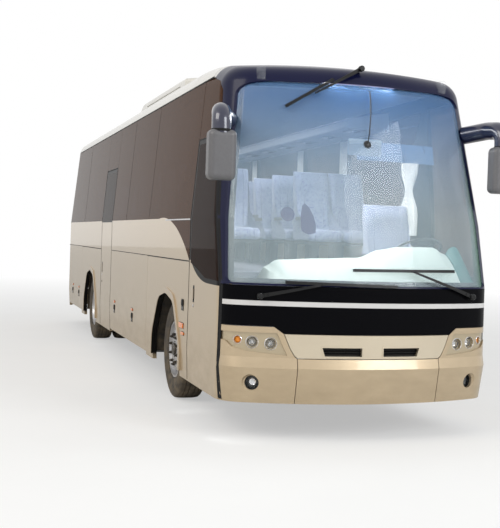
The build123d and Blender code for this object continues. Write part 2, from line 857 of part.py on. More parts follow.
def chassis():
    """Rails, cross-members and bulkheads, with a towing lug on each rail end and the bay's tray."""
    low, high = rail_heights
    bay_low, bay_high = bay_rail_heights
    deck_underside = floor_top - floor_thickness
    half_rail = rail_width / 2
    rails = []
    for side in sides:
        y = sorted((side * (rail_half - half_rail), side * (rail_half + half_rail)))
        rails.append(block((bay_front + bulkhead_thickness, back(rail_front)), y, (low, high)))
        rails.append(block((back(rail_rear), bay_rear - bulkhead_thickness), y, (low, high)))
        rails.append(block((bay_rear, bay_front), y, (bay_low, bay_high)))
        y = sorted((side * sill_rail[0], side * sill_rail[1]))
        start = back(flap_rear) if side == right else bay_rear
        rails.append(block((start, bay_front), y, (bay_low, bay_high)))
    save("frame_rails", *rails)
    members = []
    for b in floor_post_stations:
        top = platform_top - floor_thickness if b < platform_back else deck_underside
        for side in sides:
            y = sorted((side * (rail_half - half_rail), side * (rail_half + half_rail)))
            members.append(block((back(b) - half_rail, back(b) + half_rail), y, (high, top)))
    for b in cross_member_stations:
        x = (back(b) - 35, back(b) + 35)
        members.append(block(x, (half_rail - rail_half, rail_half - half_rail), (low + 20, high - 20)))
    for b, right_reach in bay_beams:
        beam = block((back(b) - 30, back(b) + 30), (-right_reach, sill_rail[0]), (bay_low, bay_high - 10))
        members.append(beam - Compound(children=rails))
    save("cross_members", *members)
    lugs = []
    for side in sides:
        y = (side * rail_half - half_rail, side * rail_half + half_rail)
        for x, outward in ((back(rail_front), 1), (back(rail_rear), -1)):
            reach = sorted((x, x + outward * tow_lug_length))
            lug = block(reach, y, (tow_lug_bottom, tow_lug_bottom + tow_lug_thickness))
            eye = Pos(x + outward * (tow_lug_length - tow_eye_inset), side * rail_half, tow_lug_bottom)
            lugs.append(lug - eye * Cylinder(tow_eye_radius, 200))
    save("towing_lugs", *lugs)
    tray = block((bay_rear + board_gap, bay_front - board_gap), (-1210, 1210), (bay_high, bay_floor_top))
    tray = tray - block((bay_rear, back(flap_rear)), (-1300, -500), (400, 500))
    bulkheads = []
    for x in (bay_front, bay_rear - bulkhead_thickness):
        bulkheads.append(block((x, x + bulkhead_thickness), (-1215, 1215), (bay_low, deck_underside)))
    save("luggage_bay", tray, *bulkheads)


def floor():
    """The floor boards of the saloon and the cab, and the steps that lead up to each."""
    edge = half_width - wall - 4
    well_edge = stair_lip - stair_inner
    well_front, well_rear = back(flap_rear + 60), back(mid_door_rear - 20)
    entry_front, entry_rear = back(560), back(1530)
    deck = (floor_top - floor_thickness, floor_top)
    deck_rows = (
        # rear end, front end, right edge, left edge
        (back(11690), well_rear, -edge, edge),
        (well_rear + board_gap, well_front - board_gap, well_edge, edge),
        (well_front, back(platform_back), -edge, edge),
    )
    platform_rows = (
        (back(platform_back), back(330), well_edge, 1120),
        (back(platform_back), entry_rear, -1120, well_edge - board_gap),
        (entry_front, back(330), -1120, well_edge - board_gap),
    )
    boards = [block((a, b), (c, d), deck) for a, b, c, d in deck_rows]
    cab_inside = body_form(wall + 6)
    for a, b, c, d in platform_rows:
        boards.append(block((a, b), (c, d), (platform_top - floor_thickness, platform_top)) & cab_inside)
    save("floor_deck", *boards)
    riser_front = back(platform_back - 30)
    steps = [
        block((back(platform_back), riser_front), (6 - edge, edge - 6), (platform_top, deck[0])),
        block((riser_front + board_gap, back(1500)), (-300, 300), (platform_top, platform_top + 210)),
    ]
    flights = ((entry_rear, entry_front, platform_top, 2), (well_rear, well_front, floor_top, 3))
    for rear, front, top, count in flights:
        rise = (top - sill_top) / (count + 1)
        tread = (stair_outer - stair_inner) / (count + 1)
        outline = [(-1218, sill_top - 22), (-1218, sill_top)]
        for i in range(count):
            y = tread * (i + 1) - stair_outer
            outline += [(y, sill_top + rise * i), (y, sill_top + rise * (i + 1))]
        outline += [
            (-stair_inner, top - rise), (-stair_inner, top), (well_edge, top),
            (well_edge, top - 2 * rise), (-stair_inner - tread, sill_top - 22),
        ]
        steps.append(prism(outline, "x", rear, front))
    save("stairwells", *steps)


def wheel_housings():
    """A closed tunnel over each wheel station, open to the road and at the body side."""
    tunnels = []
    for axle_back, inner_y in ((front_axle_back, 500), (rear_axle_back, 540)):
        for side in sides:
            low, high = sorted((side * inner_y, side * (half_width - wall - skirt_tuck - 2)))
            span = block((-7000, 7000), (low, high), (420, 1300))
            shell = arch_zone(axle_back, 40) & span
            low, high = sorted((side * (inner_y + 15), side * 2000))
            hollow = arch_zone(axle_back, 25) & block((-7000, 7000), (low, high), (0, 1400))
            axle = nose - axle_back
            notch = block((axle - 150, axle + 150), (-1000, 1000), (300, wheel_height + 110))
            inner_wall = block((-7000, 7000), (-inner_y - 20, inner_y + 20), (0, 1300))
            tunnels.append(shell - hollow - (notch & inner_wall))
    save("wheel_housings", *tunnels)


# Tyre section as (distance outward, radius), from bead to bead round the tread
half_tyre = [
    (flange_in - fit_gap, bead_radius),
    (flange_in - fit_gap, flange_radius + 2),
    (132, 322),
    (tyre_width / 2, 400),
    (136, 468),
    (118, wheel_radius - 10),
    (60, wheel_radius),
]
tyre_section = half_tyre + [(-a, r) for a, r in reversed(half_tyre)]
half_rim = [
    (flange_in, bead_radius - fit_gap),
    (flange_in, flange_radius),
    (flange_out, flange_radius),
    (flange_out, 280),
    (104, 276),
    (60, 262),
]
rim_outside = half_rim + [(-a, r) for a, r in reversed(half_rim)]


def rim(x, y, side, dish):
    """A drop-centre rim with a dished disc; dish is how far out the disc stands."""
    barrel = turned(rim_outside, x, y, wheel_height, side)
    inside = [(20, 264), (dish - 22, 200), (dish - 12, 172), (dish - 12, 90)]
    outside = [(dish + 2, 90), (dish + 2, 176), (dish - 8, 208), (36, 264)]
    disc = turned(inside + outside, x, y, wheel_height, side)
    holes = []
    for i in range(10):
        turn = radians(36 * (i + 0.5))
        centre = (x + hand_hole_ring * cos(turn), y, wheel_height + hand_hole_ring * sin(turn))
        holes.append(Plane(origin=centre, z_dir=(0, 1, 0)) * Cylinder(21, 500))
    return barrel.fuse(disc).cut(*holes)


def wheels():
    for side, name in zip(sides, ("left", "right")):
        y = side * front_track / 2
        save(f"tyre_front_{name}", turned(tyre_section, front_axle, y, wheel_height, side))
        cap = [(108, 0), (108, 96), (118, 96), (118, 66), (140, 58), (140, 0)]
        hub_cap = turned(cap, front_axle, y, wheel_height, side)
        save(f"rim_front_{name}", join([rim(front_axle, y, side, 118), hub_cap]))
        outer_y = side * (rear_track + twin_spacing) / 2
        inner_y = side * (rear_track - twin_spacing) / 2
        twins = [turned(tyre_section, rear_axle, y, wheel_height, side) for y in (outer_y, inner_y)]
        save(f"tyre_rear_{name}", *twins)
        middle = (outer_y + inner_y) / 2
        barrels = [turned(rim_outside, rear_axle, y, wheel_height, side) for y in (outer_y, inner_y)]
        disc = [(-16, 0), (-16, 264), (16, 264), (16, 0)]
        spacer = [(-60, 262), (-60, 280), (60, 280), (60, 262)]
        hub = [(10, 0), (10, 120), (90, 110), (150, 96), (156, 0)]
        cores = [turned(section, rear_axle, middle, wheel_height, side) for section in (disc, spacer, hub)]
        save(f"rim_rear_{name}", join([*barrels, *cores]))


def axles():
    """Front beam, steered knuckles, and the rear axle with its brakes."""
    beam = block((front_axle - 55, front_axle + 55), (-760, 760), (420, 520))
    ends = []
    for side in sides:
        low, high = sorted((side * 740, side * kingpin_half))
        ends.append(block((front_axle - 45, front_axle + 45), (low, high), (470, 550)))
        ends.append(Pos(front_axle, side * kingpin_half, 510) * Cylinder(45, 120))
    save("front_axle", join([beam, *ends]))
    for side, name in zip(sides, ("left", "right")):
        y = side * kingpin_half
        parts = []
        for low, high in ((574, 612), (408, 446)):
            span = sorted((y - side * 40, y + side * 92))
            parts.append(block((front_axle - 45, front_axle + 45), span, (low, high)))
        span = sorted((y + side * 62, y + side * 92))
        parts.append(block((front_axle - 60, front_axle + 60), span, (408, 612)))
        brake = [(62, 0), (62, 205), (165, 205), (165, 120), (250, 100), (250, 0)]
        parts.append(turned(brake, front_axle, y, wheel_height, side))
        save(f"knuckle_{name}", join(parts))
    parts = [
        turned([(-560, 0), (-560, 85), (560, 85), (560, 0)], rear_axle, 0, wheel_height, 1),
        Pos(rear_axle, 0, wheel_height) * Sphere(140),
    ]
    for side in sides:
        drum = [(560, 0), (560, 190), (740, 190), (740, 120), (845, 120), (845, 0)]
        parts.append(turned(drum, rear_axle, 0, wheel_height, side))
    save("rear_axle", join(parts))
    save("engine", block((back(11500), back(10150)), (-330, 330), (470, 1240)))


# A mirror arm's line from the pillar to the head: distance back, across, height
mirror_path = ((840, 1090, 2742), (500, 1285, 2790), (300, 1330, 2775), (292, 1330, 2590))
mirror_bends = (200, 108)
mirror_arm_radius = 82
mirror_head_back = 375
mirror_head_span = (1205, 1445)
mirror_head_foot = 2200
mirror_head_top = 2622


def mirrors():
    """Fat horn fairings from the screen pillars, each with a head hanging from it."""
    arms = []
    heads = []
    for side in sides:
        path = FilletPolyline(
            *[(back(b), side * y, z) for b, y, z in mirror_path], radius=mirror_bends
        )
        start = Plane(origin=path @ 0, z_dir=path % 0)
        section = Face(Wire([Edge.make_circle(mirror_arm_radius, start)]))
        arm = Solid.sweep(section, Wire(path.edges()))
        foot = Plane(origin=path @ 0, z_dir=path % 0) * Cylinder(mirror_arm_radius + 24, 44)
        low, high = sorted((side * mirror_head_span[0], side * mirror_head_span[1]))
        head_x = (back(mirror_head_back), back(mirror_head_back - 165))
        head = block(head_x, (low, high), (mirror_head_foot, mirror_head_top))
        head = head.fillet(48, head.edges())
        shell = (arm.fuse(foot) - outer).solids().sort_by(Axis.X)[-1]
        arms.append(shell - head)
        glass_z = (mirror_head_foot + 34, mirror_head_top - 34)
        recess = block((head_x[0] - 1, head_x[0] + 12), (low + 34, high - 34), glass_z)
        heads.append(head - recess.fillet(26, recess.edges().filter_by(Axis.X)))
    save("mirror_arms", *arms)
    save("mirror_heads", *heads)


def wipers():
    """Three wipers that follow the glass: thin slices of a form just outside it."""
    arm_layer = body_form(-42) - body_form(-30)
    blade_layer = body_form(-31) - body_form(-8)
    # pivot, tip of the arm, the blade's two ends, all as (across, height)
    rows = (
        ((-980, 1240), (-455, 1352), (-770, 1362), (210, 1346)),
        ((1010, 1262), (354, 1482), (820, 1486), (-190, 1478)),
        ((30, 3280), (-430, 3020), (-250, 3160), (-690, 2890)),
    )
    pieces = []
    for pivot, tip, first, last in rows:
        arm = arm_layer & front_zone(strip(pivot, tip, 34, 16))
        blade = blade_layer & front_zone(strip(first, last, 26, 26))
        foot = Vector(skin_point(*pivot)) - Vector(20, 0, 0)
        post = Plane(origin=foot, z_dir=(1, 0, 0)) * Cylinder(16, 90)
        pieces.append(join([arm, blade, (post & body_form(-42)) - outer]))
    save("wipers", *pieces)


def skin_point(y, z):
    """A point on the nose at a place across and a height, on the bow or round its corner."""
    low, high = [(a, b) for a, b in zip(levels, levels[1:]) if a[0] <= z <= b[0]][-1]
    share = (z - low[0]) / (high[0] - low[0])
    half, set_back, _, corner = (a + share * (b - a) for a, b in zip(low[1:], high[1:]))
    bow_x = nose - set_back - nose_bow
    corner_y = half - corner
    turn = asin(corner_y / (nose_bow - corner))
    if abs(y) <= nose_bow * sin(turn):
        return (bow_x + sqrt(nose_bow**2 - y**2), y, z)
    corner_x = bow_x + (nose_bow - corner) * cos(turn)
    return (corner_x + sqrt(corner**2 - (abs(y) - corner_y) ** 2), y, z)


def strip(start, end, width, end_width):
    """A tapering bar in front view between two points."""
    turn = atan2(end[1] - start[1], end[0] - start[0])
    across = (-sin(turn), cos(turn))
    a, b = width / 2, end_width / 2
    return [
        (start[0] + across[0] * a, start[1] + across[1] * a),
        (end[0] + across[0] * b, end[1] + across[1] * b),
        (end[0] - across[0] * b, end[1] - across[1] * b),
        (start[0] - across[0] * a, start[1] - across[1] * a),
    ]


def cab():
    """Dashboard with its column, the steering wheel and the driver's seat."""
    profile = [(330, 960), (330, 1330), (560, 1380), (720, 1330), (700, 1180), (560, 960)]
    board = prism([(back(b), z) for b, z in profile], "y", -480, 1120, (0, 20, 60, 25, 40, 0))
    hump_profile = [(400, 1300), (520, 1478), (690, 1470), (760, 1400), (740, 1300), (600, 1250)]
    hump = prism([(back(b), z) for b, z in hump_profile], "y", 470, 1110, (0, 70, 45, 20, 20, 0))
    body = join([board, hump]) & body_form(wall + 12)
    column = rod((back(600), 780, 1200), (back(815), 780, 1592), 32)
    save("dashboard", join([body.solids()[0], column]))
    centre = Vector(back(850), 780, 1656)
    tilt = Vector(-215, 0, 392).normalized()
    plane = Plane(origin=centre, z_dir=tilt)
    ring = plane * Torus(225, 15)
    spokes = [plane * Rot(0, 0, a) * Pos(110, 0, 0) * Box(220, 34, 12) for a in (35, 145, 270)]
    boss = plane * Cylinder(52, 44)
    save("steering_wheel", join([ring, boss, *spokes]))
    x = back(1320)
    cushion = prism(seat_profile(x, platform_top + 20), "y", 540, 1040, seat_bends)
    base = block((x - 200, x + 180), (640, 940), (platform_top, platform_top + 360))
    save("driver_seat", join([cushion, base]))


def seat_profile(x, base):
    """Side outline of a coach seat over a floor height: cushion, raked back and head roll."""
    return [
        (x + 225, base + 330), (x + 245, base + 450), (x - 175, base + 428), (x - 275, base + 900),
        (x - 265, base + 990), (x - 300, base + 1130), (x - 395, base + 1120), (x - 385, base + 980),
        (x - 300, base + 330),
    ]


seat_bends = (25, 45, 70, 60, 40, 42, 42, 60, 30)


def seats():
    """Rows of double seats on pedestals, leaving the stairwell clear, and the racks above them."""
    benches = []
    for row in range(seat_rows):
        station = first_seat + row * seat_pitch
        for side in sides:
            if side == right and flap_rear - 560 < station < mid_door_rear + 160:
                continue
            x = back(station)
            low, high = sorted((side * aisle_half, side * (aisle_half + seat_width)))
            mid = (low + high) / 2
            parts = []
            for a, b in ((low, mid - seat_split), (mid + seat_split, high)):
                parts.append(prism(seat_profile(x, floor_top), "y", a, b, seat_bends))
            parts.append(block((x - 250, x + 200), (low + 20, high - 20), (floor_top + 290, floor_top + 340)))
            parts.append(block((x - 120, x + 80), (mid - 60, mid + 60), (floor_top, floor_top + 300)))
            benches.append(join(parts))
    save("passenger_seats", *benches)
    racks = []
    for side in sides:
        outline = [(side * 640, 2960), (side * 640, 3060), (side * 1300, 3190), (side * 1300, 2960)]
        rack = prism(outline, "x", back(11500), back(2400), (22, 22, 0, 0))
        racks.append(rack & body_form(wall + 8))
    save("luggage_racks", *racks)


os.makedirs("parts", exist_ok=True)
side_panels()
window_glass_and_pillars()
roof()
roof_hatches()
roof_pod()
front_shell()
front_panels()
front_bumper()
front_lamps_and_lenses()
rear()
tail_lamps()
doors()
flaps()
chassis()
floor()
wheel_housings()
wheels()
axles()
mirrors()
wipers()
cab()
seats()
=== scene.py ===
"""Looks of a twelve metre touring coach, in metres: +X forward, +Y to its left, +Z up, road at Z = 0."""
import math
import random

import bmesh
import bpy
from mathutils import Matrix, Vector


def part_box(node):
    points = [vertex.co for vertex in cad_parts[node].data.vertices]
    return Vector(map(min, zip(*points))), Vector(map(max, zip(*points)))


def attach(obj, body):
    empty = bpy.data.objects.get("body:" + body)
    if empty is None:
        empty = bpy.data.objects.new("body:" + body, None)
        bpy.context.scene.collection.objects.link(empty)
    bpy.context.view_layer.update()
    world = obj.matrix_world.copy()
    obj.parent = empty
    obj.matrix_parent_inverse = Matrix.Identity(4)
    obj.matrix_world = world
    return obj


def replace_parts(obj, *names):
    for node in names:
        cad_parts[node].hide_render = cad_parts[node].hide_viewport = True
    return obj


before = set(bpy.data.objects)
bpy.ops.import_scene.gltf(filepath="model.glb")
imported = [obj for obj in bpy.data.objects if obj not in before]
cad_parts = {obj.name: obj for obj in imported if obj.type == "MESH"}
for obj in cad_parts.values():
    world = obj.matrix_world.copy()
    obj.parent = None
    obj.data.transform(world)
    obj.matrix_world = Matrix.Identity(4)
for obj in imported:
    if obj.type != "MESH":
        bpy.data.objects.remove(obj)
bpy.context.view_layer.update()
scene = bpy.context.scene
scene.view_settings.view_transform = "Standard"
SIDES = (("left", 1), ("right", -1))
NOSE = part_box("front_bumper")[1][0]
FRONT_X, REAR_X = NOSE - 2.59, NOSE - 8.67


# Materials

def linear(red, green, blue):
    """A colour given as 0 to 255 display values, as the linear colour that a shader takes."""
    values = [c / 255 for c in (red, green, blue)]
    return [c / 12.92 if c <= 0.04045 else ((c + 0.055) / 1.055) ** 2.4 for c in values] + [1.0]


def scaled(colour, factor):
    return [min(1.0, c * factor) for c in colour[:3]] + [1.0]


def new_material(name):
    material = bpy.data.materials.new(name)
    material.use_nodes = True
    tree = material.node_tree
    return material, tree, tree.nodes["Principled BSDF"]


def feed(tree, shader, values):
    """Sets sockets of a shader, each to a number or colour of its own or by a link."""
    for socket, value in values.items():
        if isinstance(value, (int, float, list, tuple)):
            shader.inputs[socket].default_value = value
        else:
            tree.links.new(value, shader.inputs[socket])


def placed(name, data):
    """A new object in the scene."""
    thing = bpy.data.objects.new(name, data)
    scene.collection.objects.link(thing)
    return thing


def evenly(start, length, count):
    return [start + length * i / count for i in range(count + 1)]


def noise(tree, scale, detail=4.0, stretch=(1, 1, 1), roughness=0.55):
    """Noise over the piece's own metres, so it rides with the body."""
    place = tree.nodes.new("ShaderNodeTexCoord")
    mapping = tree.nodes.new("ShaderNodeMapping")
    mapping.inputs["Scale"].default_value = stretch
    texture = tree.nodes.new("ShaderNodeTexNoise")
    texture.inputs["Scale"].default_value = scale
    texture.inputs["Detail"].default_value = detail
    texture.inputs["Roughness"].default_value = roughness
    tree.links.new(place.outputs["Object"], mapping.inputs["Vector"])
    tree.links.new(mapping.outputs["Vector"], texture.inputs["Vector"])
    return texture.outputs["Fac"]


def span(tree, value, low, high, to_low=0.0, to_high=1.0):
    """A value between low and high, as one between to_low and to_high, clamped."""
    node = tree.nodes.new("ShaderNodeMapRange")
    for socket, number in zip(("From Min", "From Max", "To Min", "To Max"), (low, high, to_low, to_high)):
        node.inputs[socket].default_value = number
    tree.links.new(value, node.inputs["Value"])
    return node.outputs["Result"]


def mixed(tree, share, first, second):
    """Mixes two colours, each a list or a socket, by a socket's share of the second."""
    node = tree.nodes.new("ShaderNodeMix")
    node.data_type = "RGBA"
    for socket, colour in ((node.inputs[6], first), (node.inputs[7], second)):
        if isinstance(colour, list):
            socket.default_value = colour
        else:
            tree.links.new(colour, socket)
    tree.links.new(share, node.inputs[0])
    return node.outputs[2]


def maths(tree, operation, *values):
    """A math node over sockets and numbers."""
    node = tree.nodes.new("ShaderNodeMath")
    node.operation = operation
    for socket, value in zip(node.inputs, values):
        if isinstance(value, (int, float)):
            socket.default_value = value
        else:
            tree.links.new(value, socket)
    return node.outputs[0]


def product(tree, first, second):
    return maths(tree, "MULTIPLY", first, second)


def place_along(tree, axis):
    """The place along X, Y or Z in the piece's own metres."""
    place = tree.nodes.new("ShaderNodeTexCoord")
    parts = tree.nodes.new("ShaderNodeSeparateXYZ")
    tree.links.new(place.outputs["Object"], parts.inputs["Vector"])
    return parts.outputs[axis]


def height_of(tree):
    """The height above the road, for dirt that settles low."""
    return place_along(tree, "Z")


def within(tree, value, low, high, soft=0.0008):
    """One between two limits and nought outside them."""
    over = span(tree, value, low - soft, low + soft)
    return product(tree, over, span(tree, value, high - soft, high + soft, 1.0, 0.0))


def in_box(tree, **limits):
    """One inside the limits given along X, Y or Z, with Y taken as the distance from the middle."""
    share = None
    for axis, (low, high) in limits.items():
        place = place_along(tree, axis)
        part = within(tree, maths(tree, "ABSOLUTE", place) if axis == "Y" else place, low, high)
        share = part if share is None else product(tree, share, part)
    return share


def bumped(tree, shader, value, distance):
    bump = tree.nodes.new("ShaderNodeBump")
    bump.inputs["Strength"].default_value = 1.0
    bump.inputs["Distance"].default_value = distance
    tree.links.new(value, bump.inputs["Height"])
    tree.links.new(bump.outputs["Normal"], shader.inputs["Normal"])


ROAD_DUST = linear(128, 112, 88)


def surface(name, colour, roughness, metallic=0.0, coat=0.0, mottle=(6.0, 0.06), grain=(900.0, 0.0002),
            dust=0.0, dust_top=0.9, rough_spread=0.08, band=None, level=0.5):
    """One finish: colour with mottling, roughness that varies, a fine grain and dust that thins out upwards.
    band is a second colour, an axis and two limits between which it is used."""
    material, tree, shader = new_material(name)
    patches = noise(tree, mottle[0], 5.0)
    shade = mixed(tree, span(tree, patches, 0.35, 0.65), scaled(colour, 1 - mottle[1]),
                  scaled(colour, 1 + mottle[1]))
    rough = span(tree, patches, 0.3, 0.7, roughness - rough_spread, roughness + rough_spread)
    if band:
        shade = mixed(tree, within(tree, place_along(tree, band[1]), *band[2]), shade, band[0])
    if dust:
        low = span(tree, height_of(tree), 0.25, dust_top, dust, 0.0)
        share = product(tree, low, span(tree, noise(tree, 9.0, 7.0, (1, 1, 1.6)), 0.3, 0.62))
        shade = mixed(tree, share, shade, ROAD_DUST)
        rough = span(tree, share, 0.0, 1.0, roughness, min(0.9, roughness + 0.45))
    feed(tree, shader, {"Base Color": shade, "Roughness": rough, "Metallic": metallic, "Coat Weight": coat,
                        "Specular IOR Level": level, "Coat Roughness": 0.04})
    bumped(tree, shader, noise(tree, grain[0], 2.0), grain[1])
    return material


def metallic_paint(name, colour, dust=0.0, areas=(), metallic=0.35, coat=0.5, level=0.5):
    """Metallic paint under clear coat: fine bright flakes, a faint orange peel and road film low down.
    areas holds other colours, each with a function that gives one where it is painted."""
    material, tree, shader = new_material(name)
    flakes = noise(tree, 2600.0, 1.0)
    tone = mixed(tree, span(tree, flakes, 0.35, 0.7), scaled(colour, 0.93), scaled(colour, 1.1))
    broad = noise(tree, 0.9, 3.0)
    tone = mixed(tree, span(tree, broad, 0.3, 0.7, 0.0, 0.35), tone, scaled(colour, 0.9))
    plain = 1.0
    for second, where in areas:
        share = where(tree)
        tone = mixed(tree, share, tone, second)
        plain = product(tree, plain, maths(tree, "SUBTRACT", 1.0, share))
    film = product(tree, span(tree, height_of(tree), 0.28, 1.15, dust, 0.0),
                   span(tree, noise(tree, 3.0, 9.0, (1, 1, 2.2), 0.62), 0.2, 0.8))
    film = product(tree, plain, film)
    tone = mixed(tree, film, tone, ROAD_DUST)
    feed(tree, shader, {"Base Color": tone, "Roughness": span(tree, film, 0.0, 1.0, 0.3, 0.7),
                        "Metallic": product(tree, plain, metallic), "Coat Weight": product(tree, plain, coat),
                        "Specular IOR Level": maths(tree, "MULTIPLY_ADD", plain, level - 0.04, 0.04),
                        "Coat Roughness": 0.03})
    bumped(tree, shader, noise(tree, 260.0, 2.0), 0.00006)
    return material


def pane(name, colour, alpha, ior, streaks, tint_and_reflection_bands=(), tint=(1, 1, 1), level=0.5):
    """Glass that shows what is behind it and mirrors the surroundings, with faint wiped streaks.
    Each colour band it is given holds an axis, a colour, its opacity and the two places along the axis
    between which it grows; the bands carry the glass's own tint and painted reflections."""
    material, tree, shader = new_material(name)
    film = noise(tree, 5.0, 6.0, (1.0, 1.0, 0.25))
    tone = mixed(tree, span(tree, film, 0.4, 0.75, 0.0, streaks), colour, scaled(colour, 1.6))
    opacity = span(tree, film, 0.35, 0.75, alpha, min(1.0, alpha + 0.04))
    # Colour bands: the glass's own tint and painted reflections, each growing along an axis
    for axis, second, cover, limits in tint_and_reflection_bands:
        rise = span(tree, place_along(tree, axis), *limits)
        tone = mixed(tree, rise, tone, second)
        opacity = maths(tree, "ADD", opacity, product(tree, rise, cover - alpha))
    feed(tree, shader, {"Base Color": tone, "Roughness": span(tree, film, 0.3, 0.8, 0.015, 0.05),
                        "Alpha": opacity, "IOR": ior, "Specular IOR Level": level,
                        "Specular Tint": (*tint, 1)})
    return material


def wheel_arches(tree):
    """One on the side walls' thickness round the wheels, inside three straight limits and behind the lips."""
    height = height_of(tree)
    arches = []
    for axle in (FRONT_X, REAR_X):
        away = maths(tree, "ABSOLUTE", maths(tree, "SUBTRACT", place_along(tree, "X"), axle))
        upright = span(tree, away, 0.694, 0.696, 1.0, 0.0)
        shoulder = maths(tree, "MULTIPLY_ADD", maths(tree, "SUBTRACT", height, 0.64), 0.751, away)
        crown = maths(tree, "MULTIPLY_ADD", away, 0.18, height)
        under = product(tree, span(tree, shoulder, 0.699, 0.701, 1.0, 0.0),
                        span(tree, crown, 1.129, 1.131, 1.0, 0.0))
        arches.append(product(tree, upright, under))
    return product(tree, maths(tree, "MAXIMUM", *arches), in_box(tree, Y=(0.0, 1.284)))


def front_door_frame(tree):
    """One on the black frame of the front door's glass, above its curved foot, and on the handle."""
    back = maths(tree, "SUBTRACT", NOSE, place_along(tree, "X"))
    bend = maths(tree, "POWER", span(tree, back, 0.75, 1.505), 2.5)
    over_foot = maths(tree, "SUBTRACT", height_of(tree), span(tree, bend, 0.0, 1.0, 1.305, 1.495))
    handle = in_box(tree, X=(NOSE - 1.37, NOSE - 1.31), Z=(1.1, 1.26))
    return maths(tree, "MAXIMUM", span(tree, over_foot, -0.001, 0.001), handle)


def mid_door_frame(tree):
    """One on the black frame of the middle door's glass and on the handle."""
    handle = in_box(tree, X=(NOSE - 7.38, NOSE - 7.32), Z=(1.13, 1.29))
    return maths(tree, "MAXIMUM", span(tree, height_of(tree), 1.879, 1.881), handle)


def grille_slots(tree):
    """One on the slats and walls of the two slots, whose outer ends slant."""
    across = maths(tree, "ABSOLUTE", place_along(tree, "Y"))
    slant = product(tree, maths(tree, "SUBTRACT", height_of(tree), 0.743), 0.329)
    outer = span(tree, maths(tree, "SUBTRACT", across, slant), 0.4235, 0.4245, 1.0, 0.0)
    return product(tree, in_box(tree, Y=(0.0985, 0.46), Z=(0.7435, 0.8155)), outer)


# One on a pale band across the black front panel: a painted highlight for the sky mirrored on the panel's
# upward-facing ledge.
def painted_highlight_strip(tree):
    return in_box(tree, Z=(1.1575, 1.1995))


def roof_joint(tree):
    """One on the joint between the roof's front cap and the rest."""
    return in_box(tree, X=(NOSE - 1.344, NOSE - 1.336))


CHAMPAGNE, GLOSS_BLACK, ARCH_BLACK = linear(192, 172, 142), linear(10, 10, 12), linear(24, 23, 22)
BODY_PAINT = metallic_paint("champagne_paint", CHAMPAGNE, dust=0.5, metallic=0.5)
SIDE_PAINT = metallic_paint("side_paint", CHAMPAGNE, 0.5, ((ARCH_BLACK, wheel_arches),), 0.5)
FRONT_DOOR_PAINT = metallic_paint("front_door_paint", CHAMPAGNE, 0.5, ((GLOSS_BLACK, front_door_frame),), 0.5)
MID_DOOR_PAINT = metallic_paint("mid_door_paint", CHAMPAGNE, 0.5, ((GLOSS_BLACK, mid_door_frame),), 0.5)
# The grille panel carries the body's champagne painted lighter, as a painted highlight.
GRILLE_PAINT_PAINTED_HIGHLIGHT = metallic_paint("grille_paint_painted_highlight", linear(206, 193, 170), 0.3, ((GLOSS_BLACK, grille_slots),), 0.5)
ROOF_PAINT = metallic_paint("roof_paint", linear(208, 205, 197), areas=((linear(40, 40, 42), roof_joint),),
                            metallic=0.1)
NAVY_PAINT = metallic_paint("navy_paint", linear(15, 18, 50), metallic=0.0, coat=0.1, level=0.15)
HORN_PAINT = metallic_paint("horn_paint", linear(20, 23, 52), metallic=0.1, coat=1.0)
LAMP_PLATE = metallic_paint("lamp_plate", linear(180, 165, 138), metallic=0.5)
# Black front panel, with a pale painted highlight band across it.
FRONT_BAND = metallic_paint("front_band_paint", linear(5, 5, 8),
                            areas=((linear(206, 204, 202), painted_highlight_strip),),
                            metallic=0.0, coat=0.0, level=0.05)
BLACK_TRIM = surface("black_trim", linear(15, 15, 16), 0.42, mottle=(30.0, 0.12), level=0.3)
BLACK_RUBBER = surface("black_rubber", linear(16, 16, 17), 0.68, mottle=(45.0, 0.15), level=0.25)
TINTED_GLASS = pane("tinted_glass", linear(72, 46, 28), 0.86, 1.3, 0.0, tint=(1.0, 0.72, 0.46), level=0.03)
DOOR_GLASS = pane("door_glass", linear(34, 19, 12), 0.9, 1.3, 0.0, tint=(1.0, 0.7, 0.45), level=0.02)
# Windscreen: its pale milky colour is a painted sky reflection. The blue band towards the top is the glass's
# own tint band together with a painted sky reflection. The green band at the coach's left edge is a painted
# reflection.
WINDSCREEN_GLASS_PAINTED_SKY = pane("clear_glass", linear(206, 226, 234), 0.19, 1.42, 0.25,
                   (("Z", linear(96, 136, 184), 0.4, (1.9, 3.0)),
                    ("Y", linear(70, 132, 98), 0.36, (1.08, 1.2))))
HATCH_WHITE = surface("hatch_white", linear(222, 221, 214), 0.35, mottle=(8.0, 0.04))
RED_LENS = surface("red_lens", linear(160, 18, 20), 0.12, coat=0.8, mottle=(40.0, 0.1))
AMBER_LENS = surface("amber_lens", linear(240, 130, 20), 0.15, coat=0.8, mottle=(60.0, 0.15))
STEEL = surface("bright_steel", linear(190, 190, 192), 0.24, metallic=1.0, mottle=(20.0, 0.06))
GREY_PLASTIC = surface("grey_plastic", linear(132, 133, 136), 0.5, mottle=(50.0, 0.05), grain=(420.0, 0.0004))
MIRROR_SHELL = surface("mirror_shell", linear(96, 95, 97), 0.4, mottle=(50.0, 0.05), grain=(420.0, 0.0003))
DASH_PLASTIC = surface("dash_plastic", linear(204, 216, 208), 0.6, mottle=(40.0, 0.05), grain=(500.0, 0.0004),
                       band=(linear(30, 98, 94), "Y", (0.93, 1.3)))
LINING = surface("rack_lining", linear(176, 180, 186), 0.7, mottle=(20.0, 0.05), grain=(300.0, 0.0006))
FRAME_PAINT = surface("frame_paint", linear(36, 36, 38), 0.62, mottle=(14.0, 0.12), dust=0.55, dust_top=1.3)
UNDERSEAL = surface("underseal", linear(32, 31, 30), 0.85, mottle=(25.0, 0.2), grain=(160.0, 0.0012),
                    dust=0.5,
                    dust_top=1.3)
